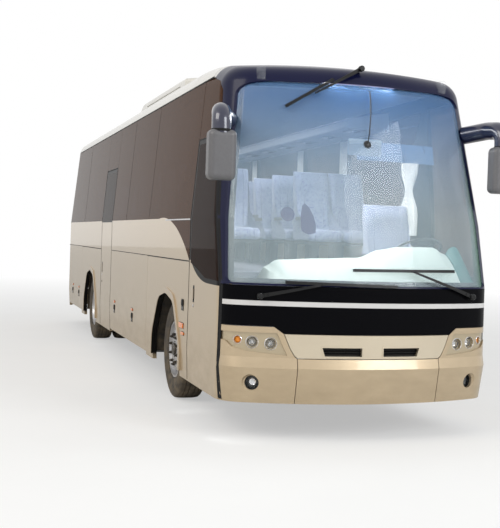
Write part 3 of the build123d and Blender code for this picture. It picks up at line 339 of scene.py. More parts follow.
IRON = surface("cast_iron", linear(48, 46, 44), 0.65, mottle=(30.0, 0.2), grain=(220.0, 0.0008), dust=0.6,
               dust_top=1.1)
ENGINE_IRON = surface("engine_iron", linear(84, 88, 90), 0.55, mottle=(16.0, 0.15), grain=(220.0, 0.0006))
TYRE_RUBBER = surface("tyre_rubber", linear(54, 50, 46), 0.85, mottle=(10.0, 0.18), grain=(300.0, 0.0006),
                      dust=0.5, dust_top=1.2)
FRONT_WHEEL = surface("front_wheel_steel", linear(196, 196, 198), 0.28, metallic=0.9, mottle=(18.0, 0.08),
                      dust=0.3,
                      dust_top=1.0)
FLOOR_VINYL = surface("floor_vinyl", linear(96, 98, 108), 0.6, mottle=(260.0, 0.25), grain=(500.0, 0.0003))
BAY_LINING = surface("bay_lining", linear(120, 120, 122), 0.75, mottle=(30.0, 0.12), grain=(120.0, 0.0008))

CHROME = surface("chrome", linear(222, 222, 224), 0.08, metallic=1.0, mottle=(30.0, 0.03), rough_spread=0.03)
WHEEL_NUT = surface("wheel_nut", linear(62, 60, 58), 0.42, metallic=0.7, mottle=(60.0, 0.2), dust=0.3,
                    dust_top=1.0)
BULB_GLASS = pane("bulb_glass", linear(236, 238, 240), 0.55, 1.5, 0.1)
BLACK_PRINT = surface("black_print", linear(16, 16, 18), 0.35, mottle=(50.0, 0.1))
MIRROR_GLASS = surface("mirror_glass", linear(206, 210, 214), 0.03, metallic=1.0, mottle=(6.0, 0.02),
                       rough_spread=0.01)
MIRROR_BACK = surface("mirror_back", linear(158, 178, 196), 0.4, mottle=(20.0, 0.05))
PLATE_WHITE = surface("bare_plate", linear(232, 232, 228), 0.3, mottle=(12.0, 0.03))
YELLOW_RAIL = surface("yellow_rail", linear(226, 182, 40), 0.42, coat=0.2, mottle=(30.0, 0.06))
LAMP_WHITE = surface("lamp_white", linear(236, 236, 230), 0.4, mottle=(20.0, 0.03))
VISOR_FILM = pane("visor_film", linear(120, 156, 196), 0.5, 1.5, 0.2)
PENNANT_CLOTH = surface("pennant_cloth", linear(44, 22, 96), 0.8, mottle=(160.0, 0.2), grain=(1400.0, 0.0004))


def woven(name, colour, second, dots):
    """Cloth with a fine weave, and a scatter of small marks of a second colour where dots says how large."""
    material, tree, shader = new_material(name)
    tone = mixed(tree, span(tree, noise(tree, 14.0, 4.0), 0.35, 0.65), scaled(colour, 0.93),
                 scaled(colour, 1.05))
    if dots:
        cells = tree.nodes.new("ShaderNodeTexVoronoi")
        cells.inputs["Scale"].default_value = 42.0
        place = tree.nodes.new("ShaderNodeTexCoord")
        tree.links.new(place.outputs["Object"], cells.inputs["Vector"])
        tone = mixed(tree, span(tree, cells.outputs["Distance"], dots * 0.8, dots, 0.85, 0.0), tone, second)
    feed(tree, shader, {"Base Color": tone, "Roughness": 0.9, "Sheen Weight": 0.25})
    weave = [maths(tree, "SINE", product(tree, place_along(tree, axis), 2400.0)) for axis in "XYZ"]
    height = maths(tree, "ADD", product(tree, weave[0], weave[2]), product(tree, weave[1], weave[2]))
    bumped(tree, shader, height, 0.0004)
    return material


SEAT_CLOTH = woven("seat_cloth", linear(156, 166, 192), linear(100, 98, 156), 0.34)
CURTAIN_CLOTH = woven("curtain_cloth", linear(236, 236, 230), linear(236, 236, 230), 0.0)


TAIL_LENS_ACROSS, TAIL_LENS_FIRST, TAIL_LENS_PITCH = 1.1, 0.8, 0.16


def lens_mask(tree, radius):
    """One inside the round lenses of the tail lamps, seen along X."""
    across = maths(tree, "SUBTRACT", maths(tree, "ABSOLUTE", place_along(tree, "Y")), TAIL_LENS_ACROSS)
    over_first = maths(tree, "SUBTRACT", place_along(tree, "Z"), TAIL_LENS_FIRST)
    turns = maths(tree, "DIVIDE", over_first, TAIL_LENS_PITCH)
    up = product(tree, maths(tree, "SUBTRACT", turns, maths(tree, "ROUND", turns)), TAIL_LENS_PITCH)
    far = maths(tree, "SQRT", maths(tree, "ADD", product(tree, across, across), product(tree, up, up)))
    return span(tree, far, radius - 0.0006, radius + 0.0006, 1.0, 0.0)


def tail_lamp_finish():
    """Red, amber, clear and red round lenses in bright bezels on a dark plate."""
    material, tree, shader = new_material("tail_lamp")
    z = place_along(tree, "Z")
    glass = mixed(tree, within(tree, z, 0.88, 1.04), linear(150, 12, 16), linear(226, 120, 16))
    glass = mixed(tree, within(tree, z, 1.04, 1.2), glass, linear(226, 226, 222))
    inside = lens_mask(tree, 0.0527)
    bezel = lens_mask(tree, 0.0665)
    tone = mixed(tree, bezel, linear(38, 36, 36), linear(200, 200, 202))
    tone = mixed(tree, inside, tone, glass)
    ripple = maths(tree, "SINE", product(tree, place_along(tree, "Y"), 900.0))
    feed(tree, shader, {"Base Color": tone, "Roughness": span(tree, noise(tree, 60.0), 0.3, 0.7, 0.1, 0.2),
                        "Coat Weight": 0.8, "Metallic": maths(tree, "SUBTRACT", bezel, inside)})
    bumped(tree, shader, product(tree, ripple, inside), 0.0006)
    return material


TAIL_LAMP = tail_lamp_finish()


def lamp_lens_finish():
    """Clear lenses, and amber for the outermost lamp of each front corner."""
    material, tree, shader = new_material("front_lenses")
    outer = span(tree, maths(tree, "ABSOLUTE", place_along(tree, "Y")), 1.098, 1.1)
    amber = product(tree, outer, span(tree, height_of(tree), 1.4, 1.5, 1.0, 0.0))
    tone = mixed(tree, amber, linear(226, 230, 232), linear(246, 150, 40))
    film = noise(tree, 40.0, 3.0)
    feed(tree, shader, {"Base Color": tone, "Roughness": span(tree, film, 0.3, 0.7, 0.03, 0.07),
                        "Alpha": span(tree, amber, 0.0, 1.0, 0.07, 0.86), "IOR": 1.5})
    return material


FRONT_LENSES = lamp_lens_finish()


def mesh_finish():
    """Black expanded metal: a lattice in bump, its small openings painted near-black as painted shade seen
    through them.
    """
    material, tree, shader = new_material("grille_mesh")
    lattice = product(tree, maths(tree, "SINE", product(tree, place_along(tree, "Y"), 520.0)),
                      maths(tree, "SINE", product(tree, place_along(tree, "Z"), 520.0)))
    bars = span(tree, maths(tree, "ABSOLUTE", lattice), 0.2, 0.5)
    # Near-black in the openings is painted shade; the raised lattice keeps the metal's own dark grey.
    feed(tree, shader, {"Base Color": mixed(tree, bars, linear(58, 56, 54), linear(8, 8, 8)),
                        "Roughness": span(tree, bars, 0.0, 1.0, 0.45, 0.9)})
    bumped(tree, shader, span(tree, bars, 0.0, 1.0, 1.0, 0.0), 0.001)
    return material


GRILLE_MESH = mesh_finish()

NODE_MATERIALS = (
    (BODY_PAINT, "front_bumper rear_cap rear_bumper engine_hatch luggage_flap_right luggage_flap_left "
                 "rear_flap_right rear_flap_left"),
    (SIDE_PAINT, "side_panels"),
    (FRONT_DOOR_PAINT, "front_door_leaf"),
    (MID_DOOR_PAINT, "mid_door_leaf"),
    (GRILLE_PAINT_PAINTED_HIGHLIGHT, "grille_panel"),
    (ROOF_PAINT, "roof roof_pod"),
    (NAVY_PAINT, "front_shell"),
    (HORN_PAINT, "mirror_arms"),
    (FRONT_BAND, "front_panel"),
    (BLACK_TRIM, "window_pillars wipers steering_wheel"),
    (TINTED_GLASS, "window_glass"),
    (DOOR_GLASS, "front_door_glass mid_door_glass"),
    (WINDSCREEN_GLASS_PAINTED_SKY, "windscreen"),
    (HATCH_WHITE, "roof_hatch_front roof_hatch_rear"),
    (LAMP_PLATE, "headlamps"),
    (BLACK_TRIM, "fog_lamps"),
    (FRONT_LENSES, "lamp_lenses"),
    (TAIL_LAMP, "tail_lamps"),
    (STEEL, "front_door_arm mid_door_arm"),
    (MIRROR_SHELL, "mirror_heads"),
    (DASH_PLASTIC, "dashboard"),
    (LINING, "luggage_racks"),
    (SEAT_CLOTH, "driver_seat passenger_seats"),
    (FRAME_PAINT, "frame_rails cross_members towing_lugs"),
    (UNDERSEAL, "wheel_housings"),
    (IRON, "front_axle rear_axle knuckle_left knuckle_right"),
    (ENGINE_IRON, "engine"),
    (TYRE_RUBBER, "tyre_front_left tyre_front_right tyre_rear_left tyre_rear_right"),
    (FRONT_WHEEL, "rim_front_left rim_front_right rim_rear_left rim_rear_right"),
    (FLOOR_VINYL, "floor_deck stairwells"),
    (BAY_LINING, "luggage_bay"),
)
for material, names in NODE_MATERIALS:
    for name in names.split():
        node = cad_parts[name]
        node.data.materials.clear()
        node.data.materials.append(material)


# Forms that the pieces are put together from

class Piece:
    """A named mesh put together from plain forms, each with its finish, which rides on one body."""

    def __init__(self, name, body="root"):
        self.name, self.body = name, body
        self.vertices, self.faces, self.finish, self.smooth, self.materials = [], [], [], [], []

    def add(self, vertices, faces, material, smooth=True):
        if material not in self.materials:
            self.materials.append(material)
        start = len(self.vertices)
        self.vertices += [tuple(v) for v in vertices]
        self.faces += [tuple(start + i for i in face) for face in faces]
        self.finish += [self.materials.index(material)] * len(faces)
        self.smooth += [smooth] * len(faces)

    def slab(self, low, high, material, bevel=0.002):
        """A box between two corners, its edges rounded."""
        low, high = [min(a, b) for a, b in zip(low, high)], [max(a, b) for a, b in zip(low, high)]
        size = [b - a for a, b in zip(low, high)]
        form = bmesh.new()
        bmesh.ops.create_cube(form, size=1.0)
        bmesh.ops.scale(form, vec=size, verts=form.verts)
        bmesh.ops.bevel(form, geom=form.edges[:], offset=min(bevel, 0.45 * min(size)), segments=2,
                        affect="EDGES")
        middle = Matrix.Translation([(a + b) / 2 for a, b in zip(low, high)])
        bmesh.ops.transform(form, matrix=middle, verts=form.verts)
        form.verts.index_update()
        self.add([v.co for v in form.verts], [[v.index for v in f.verts] for f in form.faces], material)
        form.free()

    def lathe(self, profile, origin, axis, material, segments=24, closed=False, notch=None):
        """A form turned about an axis from (distance along it, radius) points."""
        frame_of = Vector(axis).to_track_quat("Z", "Y").to_matrix()
        count = len(profile)
        points = []
        for i in range(segments):
            angle = math.tau * i / segments
            for j, (along, radius) in enumerate(profile):
                reach = radius - (notch(i, j) if notch else 0.0)
                points.append(Vector(origin) + frame_of @ Vector((reach * math.cos(angle),
                                                                  reach * math.sin(angle), along)))
        faces = []
        for i in range(segments):
            here, there = i * count, ((i + 1) % segments) * count
            for j in range(count if closed else count - 1):
                k = (j + 1) % count
                faces.append((here + j, there + j, there + k, here + k))
        self.add(points, faces, material)

    def tube(self, path, radius, material, sides=10, closed=False):
        """A round bar along a path of points."""
        path = [Vector(p) for p in path]
        count = len(path)
        side = None
        points = []
        for i, point in enumerate(path):
            ahead = path[(i + 1) % count] if closed or i + 1 < count else point
            behind = path[i - 1] if closed or i else point
            along = (ahead - behind).normalized()
            across = along.orthogonal() if side is None else side - along * side.dot(along)
            side = across.normalized()
            other = along.cross(side)
            for k in range(sides):
                angle = math.tau * k / sides
                points.append(point + radius * (math.cos(angle) * side + math.sin(angle) * other))
        faces = []
        for i in range(count if closed else count - 1):
            here, there = i * sides, ((i + 1) % count) * sides
            faces += [(here + k, here + (k + 1) % sides, there + (k + 1) % sides,
                       there + k) for k in range(sides)]
        if not closed:
            faces += [tuple(range(sides))[::-1], tuple((count - 1) * sides + k for k in range(sides))]
        self.add(points, faces, material)

    def sheet(self, outer, inner, material):
        """A closed thin form between two matching grids of points."""
        rows, columns = len(outer), len(outer[0])
        points = [p for row in outer for p in row] + [p for row in inner for p in row]
        half = rows * columns
        faces = []
        for i in range(rows - 1):
            for j in range(columns - 1):
                a = i * columns + j
                quad = (a, a + 1, a + columns + 1, a + columns)
                faces += [quad, tuple(half + v for v in reversed(quad))]
        rim = list(range(columns)) + [i * columns + columns - 1 for i in range(1, rows)]
        rim += [(rows - 1) * columns + j for j in range(columns - 2, -1, -1)]
        rim += [i * columns for i in range(rows - 2, 0, -1)]
        for a, b in zip(rim, rim[1:] + rim[:1]):
            faces.append((b, a, half + a, half + b))
        self.add(points, faces, material)

    def done(self):
        mesh = bpy.data.meshes.new(self.name)
        mesh.from_pydata(self.vertices, [], self.faces)
        for material in self.materials:
            mesh.materials.append(material)
        mesh.polygons.foreach_set("material_index", self.finish)
        mesh.polygons.foreach_set("use_smooth", self.smooth)
        form = bmesh.new()
        form.from_mesh(mesh)
        bmesh.ops.remove_doubles(form, verts=form.verts, dist=0.00001)
        bmesh.ops.recalc_face_normals(form, faces=form.faces)
        form.to_mesh(mesh)
        form.free()
        mesh.set_sharp_from_angle(angle=math.radians(38))
        piece = placed(self.name, mesh)
        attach(piece, self.body)
        return piece


# The body's skin: height, half width, nose set back, corner radius

LEVELS = (
    (0.33, 1.262, 0.06, 0.27), (0.635, 1.275, 0.0, 0.27), (0.722, 1.275, 0.024, 0.27),
    (1.33, 1.275, 0.035, 0.27),
    (1.9, 1.275, 0.19517, 0.27), (3.6, 1.1322, 0.67287, 0.34),
)
NOSE_BOW = 2.9


def plan_at(z):
    """Half width, the tip's place, and the corner's radius and centre at a height."""
    low, high = [(a, b) for a, b in zip(LEVELS, LEVELS[1:]) if a[0] <= z <= b[0]][-1]
    share = (z - low[0]) / (high[0] - low[0])
    half, set_back, corner = (a + share * (b - a) for a, b in zip(low[1:], high[1:]))
    reach, across = NOSE_BOW - corner, half - corner
    bow_x = NOSE - set_back - NOSE_BOW
    return half, bow_x, corner, bow_x + math.sqrt(reach ** 2 - across ** 2), across


def nose_point(y, z, inset=0.0):
    """A point on the nose, or at a depth behind its skin, on the bow or round its corner."""
    half, bow_x, corner, corner_x, across = plan_at(z)
    if abs(y) <= NOSE_BOW * across / (NOSE_BOW - corner):
        return Vector((bow_x + math.sqrt((NOSE_BOW - inset) ** 2 - y ** 2), y, z))
    return Vector((corner_x + math.sqrt(max(0.0, (corner - inset) ** 2 - (abs(y) - across) ** 2)), y, z))


def nose_sheet(piece, ys, zs, insets, material):
    """A thin form that follows the nose between two depths behind its skin."""
    front, rear = ([[nose_point(y, z, inset) for y in ys] for z in zs] for inset in insets)
    piece.sheet(front, rear, material)


def side_point(back, z, side, proud=0.0):
    """A point on a side of the body, a distance back from the nose, standing proud of the skin."""
    half, _, corner, corner_x, across = plan_at(z)
    x = NOSE - back
    if x > corner_x:
        half = across + math.sqrt(max(0.0, corner ** 2 - (x - corner_x) ** 2))
    return Vector((x, side * (half + proud), z))


def side_slab(piece, back, z, side, material, bevel=0.003, proud=0.004, sunk=0.012):
    """A small block let into a side, between two distances back and two heights."""
    y = side_point(sum(back) / 2, sum(z) / 2, side)[1]
    piece.slab((NOSE - back[1], y - side * sunk, z[0]), (NOSE - back[0], y + side * proud, z[1]), material,
               bevel)


def side_ribbon(piece, path, side, width, material, proud=0.002, sunk=0.004):
    """A strip along a side through (distance back, height) points."""
    steps = []
    for (a, b) in zip(path, path[1:]):
        count = max(1, int(math.dist(a, b) / 0.08))
        steps += [(a[0] + (b[0] - a[0]) * i / count, a[1] + (b[1] - a[1]) * i / count) for i in range(count)]
    steps.append(path[-1])
    outer, inner = [], []
    for i, (back, z) in enumerate(steps):
        ahead, behind = steps[min(i + 1, len(steps) - 1)], steps[max(i - 1, 0)]
        run = Vector((ahead[0] - behind[0], ahead[1] - behind[1])).normalized() * width / 2
        edges = ((back - run[1], z + run[0]), (back + run[1], z - run[0]))
        outer.append([side_point(*edge, side, proud) for edge in edges])
        inner.append([side_point(*edge, side, -sunk) for edge in edges])
    piece.sheet(outer, inner, material)


def facing(side, degrees):
    """The way that a lamp looks, turned outward from straight ahead."""
    return Vector((math.cos(math.radians(degrees)), side * math.sin(math.radians(degrees)), 0))


# Tyres and wheels

TYRE_SIDE = (
    (0.1065, 0.286), (0.107, 0.301), (0.118, 0.306), (0.126, 0.312), (0.1315, 0.322), (0.1335, 0.33),
    (0.1325, 0.334),
    (0.138, 0.352), (0.144, 0.378), (0.147, 0.4), (0.1465, 0.415), (0.1448, 0.428), (0.1455, 0.431),
    (0.144, 0.434),
    (0.1415, 0.446), (0.1372, 0.464), (0.134, 0.474), (0.13, 0.486), (0.1245, 0.497), (0.117, 0.505),
    (0.105, 0.5085), (0.0795, 0.5125), (0.0785, 0.501), (0.0715, 0.501), (0.0705, 0.5135), (0.0345, 0.5147),
    (0.0335, 0.503), (0.0265, 0.503), (0.0255, 0.5149),
)
TYRE_PROFILE = TYRE_SIDE + ((0.0, 0.515),) + tuple((-a, r) for a, r in reversed(TYRE_SIDE))
SHOULDER = {j for j, (a, r) in enumerate(TYRE_PROFILE) if abs(a) > 0.1 and 0.48 < r < 0.51}
WHEEL_HEIGHT, STUDS = 0.515, 10
WHEELS = (
    # node ending, axle's place along, wheel centres across, where the studs' face stands
    ("front_left", FRONT_X, (1.045,), 1.165), ("front_right", FRONT_X, (-1.045,), -1.165),
    ("rear_left", REAR_X, (1.07, 0.73), 0.916), ("rear_right", REAR_X, (-1.07, -0.73), -0.916),
)


def tread_notch(i, j):
    return 0.005 if i % 3 == 0 and j in SHOULDER else 0.0


for name, x, centres, face in WHEELS:
    tyre = Piece("tyre_" + name + "_tread", "wheel_" + name)
    side = math.copysign(1, face)
    for y in centres:
        tyre.lathe(TYRE_PROFILE, (x, y, WHEEL_HEIGHT), (0, side, 0), TYRE_RUBBER, 108, True, tread_notch)
    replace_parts(tyre.done(), "tyre_" + name)
    studs = Piece("wheel_studs_" + name, "wheel_" + name)
    ring = 0.158 if "front" in name else 0.142
    for i in range(STUDS):
        angle = math.tau * (i + 0.5) / STUDS
        place = (x + ring * math.cos(angle), face, WHEEL_HEIGHT + ring * math.sin(angle))
        studs.lathe(((-0.001, 0.0), (-0.001, 0.021), (0.003, 0.021), (0.003, 0.0165), (0.021, 0.0165),
                     (0.023, 0.014),
                     (0.023, 0.0)), place, (0, side, 0), WHEEL_NUT, 6)
        studs.lathe(((0.02, 0.009), (0.034, 0.009), (0.036, 0.007), (0.036, 0.0)), place, (0, side, 0),
                    WHEEL_NUT, 12)
    if "front" in name:
        cap = ((-0.001, 0.0665), (0.02, 0.0592), (0.0212, 0.056), (0.0215, 0.03), (0.0235, 0.028),
               (0.0235, 0.0))
        studs.lathe(cap, (x, face - side * 0.001, WHEEL_HEIGHT), (0, side, 0), WHEEL_NUT, 32)
        for i in range(8):
            angle = math.tau * i / 8
            place = (x + 0.079 * math.cos(angle), face - side * 0.002, WHEEL_HEIGHT + 0.079 * math.sin(angle))
            studs.lathe(((0.0, 0.0065), (0.007, 0.0065), (0.007, 0.0)), place, (0, side, 0), WHEEL_NUT, 6)
        valve = ((0.236, -0.05), (0.239, -0.02), (0.243, 0.006))
        studs.tube([(x + along, face + side * out, WHEEL_HEIGHT) for along, out in valve], 0.004,
                   BLACK_RUBBER)
    studs.done()


# Doors, flaps and small things on the sides

FLAPS = (
    # body, side, distances back of the latches, their height, distances back of the markers, their height
    ("luggage_flap_right", -1, (4.65, 6.07), 0.68, (4.65, 6.07), 0.77),
    ("luggage_flap_left", 1, (4.65, 6.07), 0.68, (4.65, 6.07), 0.77),
    ("rear_flap_right", -1, (10.13, 11.03), 0.65, (10.15, 11.01), 0.75),
    ("rear_flap_left", 1, (9.9, 11.4), 0.55, (9.9, 11.4), 0.64),
)


def latch(piece, back, z, side):
    """A black paddle latch in a shallow frame, with its lock below."""
    side_slab(piece, (back - 0.055, back + 0.055), (z - 0.062, z + 0.062), side, BLACK_TRIM, 0.006, 0.003)
    side_slab(piece, (back - 0.042, back + 0.042), (z - 0.012, z + 0.052), side, BLACK_RUBBER, 0.006, 0.009)
    y = side_point(back, z - 0.03, side)[1]
    piece.lathe(((0.0, 0.0105), (0.0055, 0.0105), (0.0065, 0.009), (0.0065, 0.003), (0.0045, 0.002),
                 (0.0045, 0.0)),
                (NOSE - back, y, z - 0.03), (0, side, 0), STEEL, 20)


def marker(piece, back, z, side, half=0.045, high=0.016):
    """An amber side marker in a black surround."""
    side_slab(piece, (back - half - 0.005, back + half + 0.005), (z - high - 0.005, z + high + 0.005), side,
              BLACK_TRIM, 0.003, 0.003)
    side_slab(piece, (back - half, back + half), (z - high, z + high), side, AMBER_LENS, 0.005, 0.011)


for body, side, latches, latch_z, markers, marker_z in FLAPS:
    fittings = Piece(body + "_latches", body)
    for back in latches:
        latch(fittings, back, latch_z, side)
    for back in markers:
        marker(fittings, back, marker_z + 0.008, side)
    fittings.done()

fittings = Piece("side_markers")
for _, side in SIDES:
    latch(fittings, 1.79, 1.045, side)
    marker(fittings, 1.82, 0.84, side, 0.09, 0.026)
    marker(fittings, 1.75, 0.765, side, 0.055, 0.015)
fittings.done()

# A lock under the handle of each door, and a small latch below the middle door's
for body, back, lock_z in (("front_door", 1.34, 1.07), ("mid_door", 7.35, 1.1)):
    fittings = Piece(body + "_lock", body)
    y = side_point(back, lock_z, -1)[1]
    fittings.lathe(((-0.003, 0.015), (0.003, 0.015), (0.005, 0.012), (0.005, 0.004), (0.003, 0.003),
                    (0.003, 0.0)),
                   (NOSE - back, y, lock_z), (0, -1, 0), STEEL, 24)
    fittings.done()
fittings = Piece("mid_door_latch", "mid_door")
fittings.lathe(((-0.003, 0.012), (0.004, 0.012), (0.005, 0.009), (0.005, 0.0)), (NOSE - 7.35, -1.275, 1.0),
               (0, -1, 0), BLACK_TRIM, 20)
fittings.done()

DOOR_EDGES = (
    # body, points round the leaf from the front foot up, over and down as (distance back, height)
    ("front_door", ((0.426, 0.345), (0.426, 1.3), (0.798, 2.642), (1.552, 2.642), (1.552, 0.345))),
    ("mid_door", ((6.498, 0.345), (6.498, 2.652), (7.484, 2.652), (7.484, 0.345))),
)
for body, edge in DOOR_EDGES:
    seal = Piece(body + "_seal", body)
    for a, b in zip(edge, edge[1:]):
        side_ribbon(seal, (a, b), -1, 0.005, BLACK_RUBBER, -0.001, 0.03)
        side_ribbon(seal, (a, b), -1, 0.014, BLACK_RUBBER, 0.0014, 0.0)
    seal.done()

trim = Piece("door_frame_strip")
side_ribbon(trim, ((0.417, 0.34), (0.417, 1.31), (0.786, 2.64)), -1, 0.007, BLACK_RUBBER, -0.0005, 0.02)
side_ribbon(trim, ((0.401, 0.34), (0.401, 0.635), (0.401, 0.722), (0.401, 1.31), (0.77, 2.64)), -1, 0.03,
            BLACK_RUBBER, 0.0012, 0.0)
side_ribbon(trim, ((0.417, 0.34), (0.417, 1.31)), 1, 0.007, BLACK_RUBBER, -0.0005, 0.02)
trim.done()

# Mouldings at the belt and in the rub line's groove, seals between panes and under the gutter
BELT_Z, GROOVE_Z, GUTTER_Z = 1.885, 1.481, 3.2095
trim = Piece("belt_mouldings")
for _, side in SIDES:
    side_ribbon(trim, ((1.56, BELT_Z), (2.74, BELT_Z)), side, 0.013, STEEL, 0.0035, 0.001)
    for a, b in ((1.57, 11.74),) if side > 0 else ((1.57, 6.48), (7.51, 11.74)):
        side_ribbon(trim, ((a, GROOVE_Z), (b, GROOVE_Z)), side, 0.011, BLACK_RUBBER, 0.001, 0.0)
trim.done()
seams = Piece("glass_seals")
for _, side in SIDES:
    splits = (1.55, 3.7, 5.3, 7.5, 9.6) if side > 0 else (3.7, 5.3, 9.6)
    for back in splits:
        foot = 1.5 if back < 2 else 1.905
        side_ribbon(seams, ((back, foot), (back, 3.2)), side, 0.009, BLACK_RUBBER, 0.0008, 0.006)
    side_ribbon(seams, ((1.26, GUTTER_Z), (11.33, GUTTER_Z)), side, 0.014, BLACK_RUBBER, 0.001, 0.006)
seams.done()


# Front: lamp reflectors and the mesh behind the grille

LAMPS = (
    # across, height, bowl radius, turn outward in degrees
    (1.142, 0.864, 0.037, 30), (1.024, 0.847, 0.054, 16), (0.873, 0.838, 0.054, 12),
)
FOG = (1.018, 0.503, 0.062, 24)


def lamp_axis(across, z, side, degrees, depth):
    look = facing(side, degrees)
    place = nose_point(across, z)
    return Vector((place[0], side * place[1], z)) - look * depth, look


lamps = Piece("lamp_reflectors")
for _, side in SIDES:
    for across, z, radius, degrees in LAMPS:
        place, look = lamp_axis(across, z, side, degrees, 0.018)
        seat = radius - 0.009
        lamps.lathe(((0.0075, radius - 0.0052), (0.0098, radius - 0.0035), (0.0098, radius - 0.001),
                     (0.0075, radius + 0.0012), (-0.004, radius + 0.0012), (-0.004, radius - 0.0052)),
                    place, look, CHROME, 40, True)
        bowl = [(-0.0212, seat - 0.0012), (-0.026, seat - 0.0065)]
        bowl += [(-0.026 - 0.022 * s, (seat - 0.007) * math.sqrt(1 - s * s) + 0.0002) for s in (0.35, 0.6,
                                                                                                0.8, 0.92)]
        lamps.lathe(bowl + [(-0.0485, radius * 0.24), (-0.0485, 0.0)], place, look, CHROME, 40)
        if radius > 0.04:
            lamps.lathe(((-0.046, 0.013), (-0.03, 0.0125), (-0.0285, 0.0105), (-0.0285, 0.0)), place, look,
                        BULB_GLASS, 24)
            lamps.lathe(((-0.0235, seat - 0.0005), (-0.0213, seat - 0.0015), (-0.0225, seat - 0.013),
                         (-0.0265, seat - 0.0135)),
                        place, look, BLACK_PRINT, 40, True)
        else:
            lamps.lathe(((-0.046, 0.008), (-0.028, 0.0085), (-0.0255, 0.006), (-0.0255, 0.0)), place, look,
                        AMBER_LENS, 20)
    place, look = lamp_axis(FOG[0], FOG[1], side, FOG[3], 0.04)
    lamps.lathe(((-0.0212, 0.0515), (-0.03, 0.044), (-0.04, 0.03), (-0.0455, 0.015), (-0.0465, 0.0)), place,
                look, CHROME, 40)
lamps.done()

mesh_plate = Piece("grille_mesh")
for _, side in SIDES:
    ys = [side * y for y in evenly(0.088, 0.372, 8)]
    nose_sheet(mesh_plate, ys, evenly(0.736, 0.088, 4), (0.036, 0.042), GRILLE_MESH)
mesh_plate.done()


# Windscreen: the printed black border on the pane's inner face

PRINT_DEPTHS = (0.0295, 0.031)

def screen_edge(z):
    """How far across the windscreen's side edge lies at a height."""
    line = NOSE - 0.366 - (z - 1.346) / (3.118 - 1.346) * (0.782 - 0.366)
    low, high = 0.5, plan_at(z)[0] - 0.03
    for _ in range(40):
        middle = (low + high) / 2
        low, high = (middle, high) if nose_point(middle, z, 0.028)[0] > line else (low, middle)
    return low


border = Piece("windscreen_border")
steps = evenly(1.335, 3.09 - 1.335, 24)
for _, side in SIDES:
    edges = [screen_edge(z) for z in steps]
    outer, inner = ([[nose_point(side * (e + d), z, depth) for d in (-0.035, -0.012, 0.006)]
                     for e, z in zip(edges, steps)] for depth in PRINT_DEPTHS)
    border.sheet(outer, inner, BLACK_PRINT)
for low, high in ((1.335, 1.385), (3.075, 3.115)):
    ys = [y * (screen_edge((low + high) / 2) - 0.01) for y in evenly(-1.0, 2.0, 32)]
    nose_sheet(border, ys, (low, (low + high) / 2, high), PRINT_DEPTHS, BLACK_PRINT)
border.done()


# Mirrors: glass, rims and the joint on top of each head

for name, side in SIDES:
    mirror = Piece("mirror_" + name + "_glass")
    back_x = NOSE - 0.375
    low_y, high_y = sorted((side * 1.205, side * 1.445))
    mirror.slab((back_x + 0.004, low_y + 0.037, 2.237), (back_x + 0.0115, high_y - 0.037, 2.585),
                MIRROR_GLASS, 0.003)
    mirror.slab((back_x + 0.0035, low_y + 0.037, 2.325), (back_x + 0.0085, high_y - 0.037, 2.331), BLACK_TRIM,
                0.001)
    mirror.tube([(back_x + 0.006, y, z) for y, z in (
        (low_y + 0.033, 2.27), (low_y + 0.04, 2.243), (low_y + 0.066, 2.234), (high_y - 0.066, 2.234),
        (high_y - 0.04, 2.243), (high_y - 0.033, 2.27), (high_y - 0.033, 2.552), (high_y - 0.04, 2.579),
        (high_y - 0.066, 2.588), (low_y + 0.066, 2.588), (low_y + 0.04, 2.579), (low_y + 0.033, 2.552))],
        0.005, BLACK_RUBBER, 8, True)
    mirror.done()
    joint = Piece("mirror_" + name + "_joint")
    joint.lathe(((0.0, 0.0), (0.0, 0.086), (0.012, 0.0875), (0.022, 0.086), (0.022, 0.0)),
                (NOSE - 0.293, side * 1.33, 2.606), (0, 0, 1), BLACK_RUBBER, 36)
    joint.done()


# Wiper pivots and joints

WIPERS = (
    # pivot, tip of the arm, as (across, height)
    ((-0.98, 1.24), (-0.455, 1.352)), ((1.01, 1.262), (0.354, 1.482)), ((0.03, 3.28), (-0.43, 3.02)),
)


fittings = Piece("wiper_joints")
for pivot, tip in WIPERS:
    out = (nose_point(*pivot, -0.1) - nose_point(*pivot)).normalized()
    fittings.lathe(((-0.012, 0.027), (0.02, 0.027), (0.028, 0.021), (0.029, 0.0)),
                   nose_point(*pivot, -0.034 if pivot[1] < 2 else 0.0), out, BLACK_TRIM, 28)
    for share in (0.12, 0.96):
        place = [a + (b - a) * share for a, b in zip(pivot, tip)]
        if place[1] < 3.1:
            fittings.lathe(((-0.004, 0.0), (-0.004, 0.0095), (0.004, 0.0095), (0.005, 0.0)),
                           nose_point(*place, -0.042), out, BLACK_RUBBER, 16)
fittings.done()


# Rear: bare plate, reflectors and the engine hatch's latches

def tail_x(y, z):
    """The place along of the tail's skin, up to the foot of the rear window."""
    set_in = 0.06 * (0.635 - z) / 0.305 if z < 0.635 else 0.01 * (z - 0.635) / 0.695
    return set_in - NOSE + y ** 2 / (2 * 5.2)


rear = Piece("rear_plate")
plate_face = [[Vector((tail_x(0, z) + 0.005, y, z)) for y in (-0.255, 0.0, 0.255)] for z in (0.482, 0.588)]
rear.sheet(plate_face, [[p + Vector((0.004, 0, 0)) for p in row] for row in plate_face], PLATE_WHITE)
rear.done()
rear = Piece("rear_reflectors")
for _, side in SIDES:
    face_x = tail_x(0.57, 0.53)
    rear.slab((face_x - 0.006, side * 0.5, 0.512), (face_x + 0.02, side * 0.64, 0.552), RED_LENS, 0.004)
rear.done()
rear = Piece("engine_hatch_latches", "engine_hatch")
for _, side in SIDES:
    face_x = tail_x(0.56, 0.72)
    rear.slab((face_x - 0.007, side * 0.52, 0.7), (face_x + 0.02, side * 0.6, 0.745), BLACK_TRIM, 0.004)
rear.done()


# Cabin: curtains, seats and what the driver uses

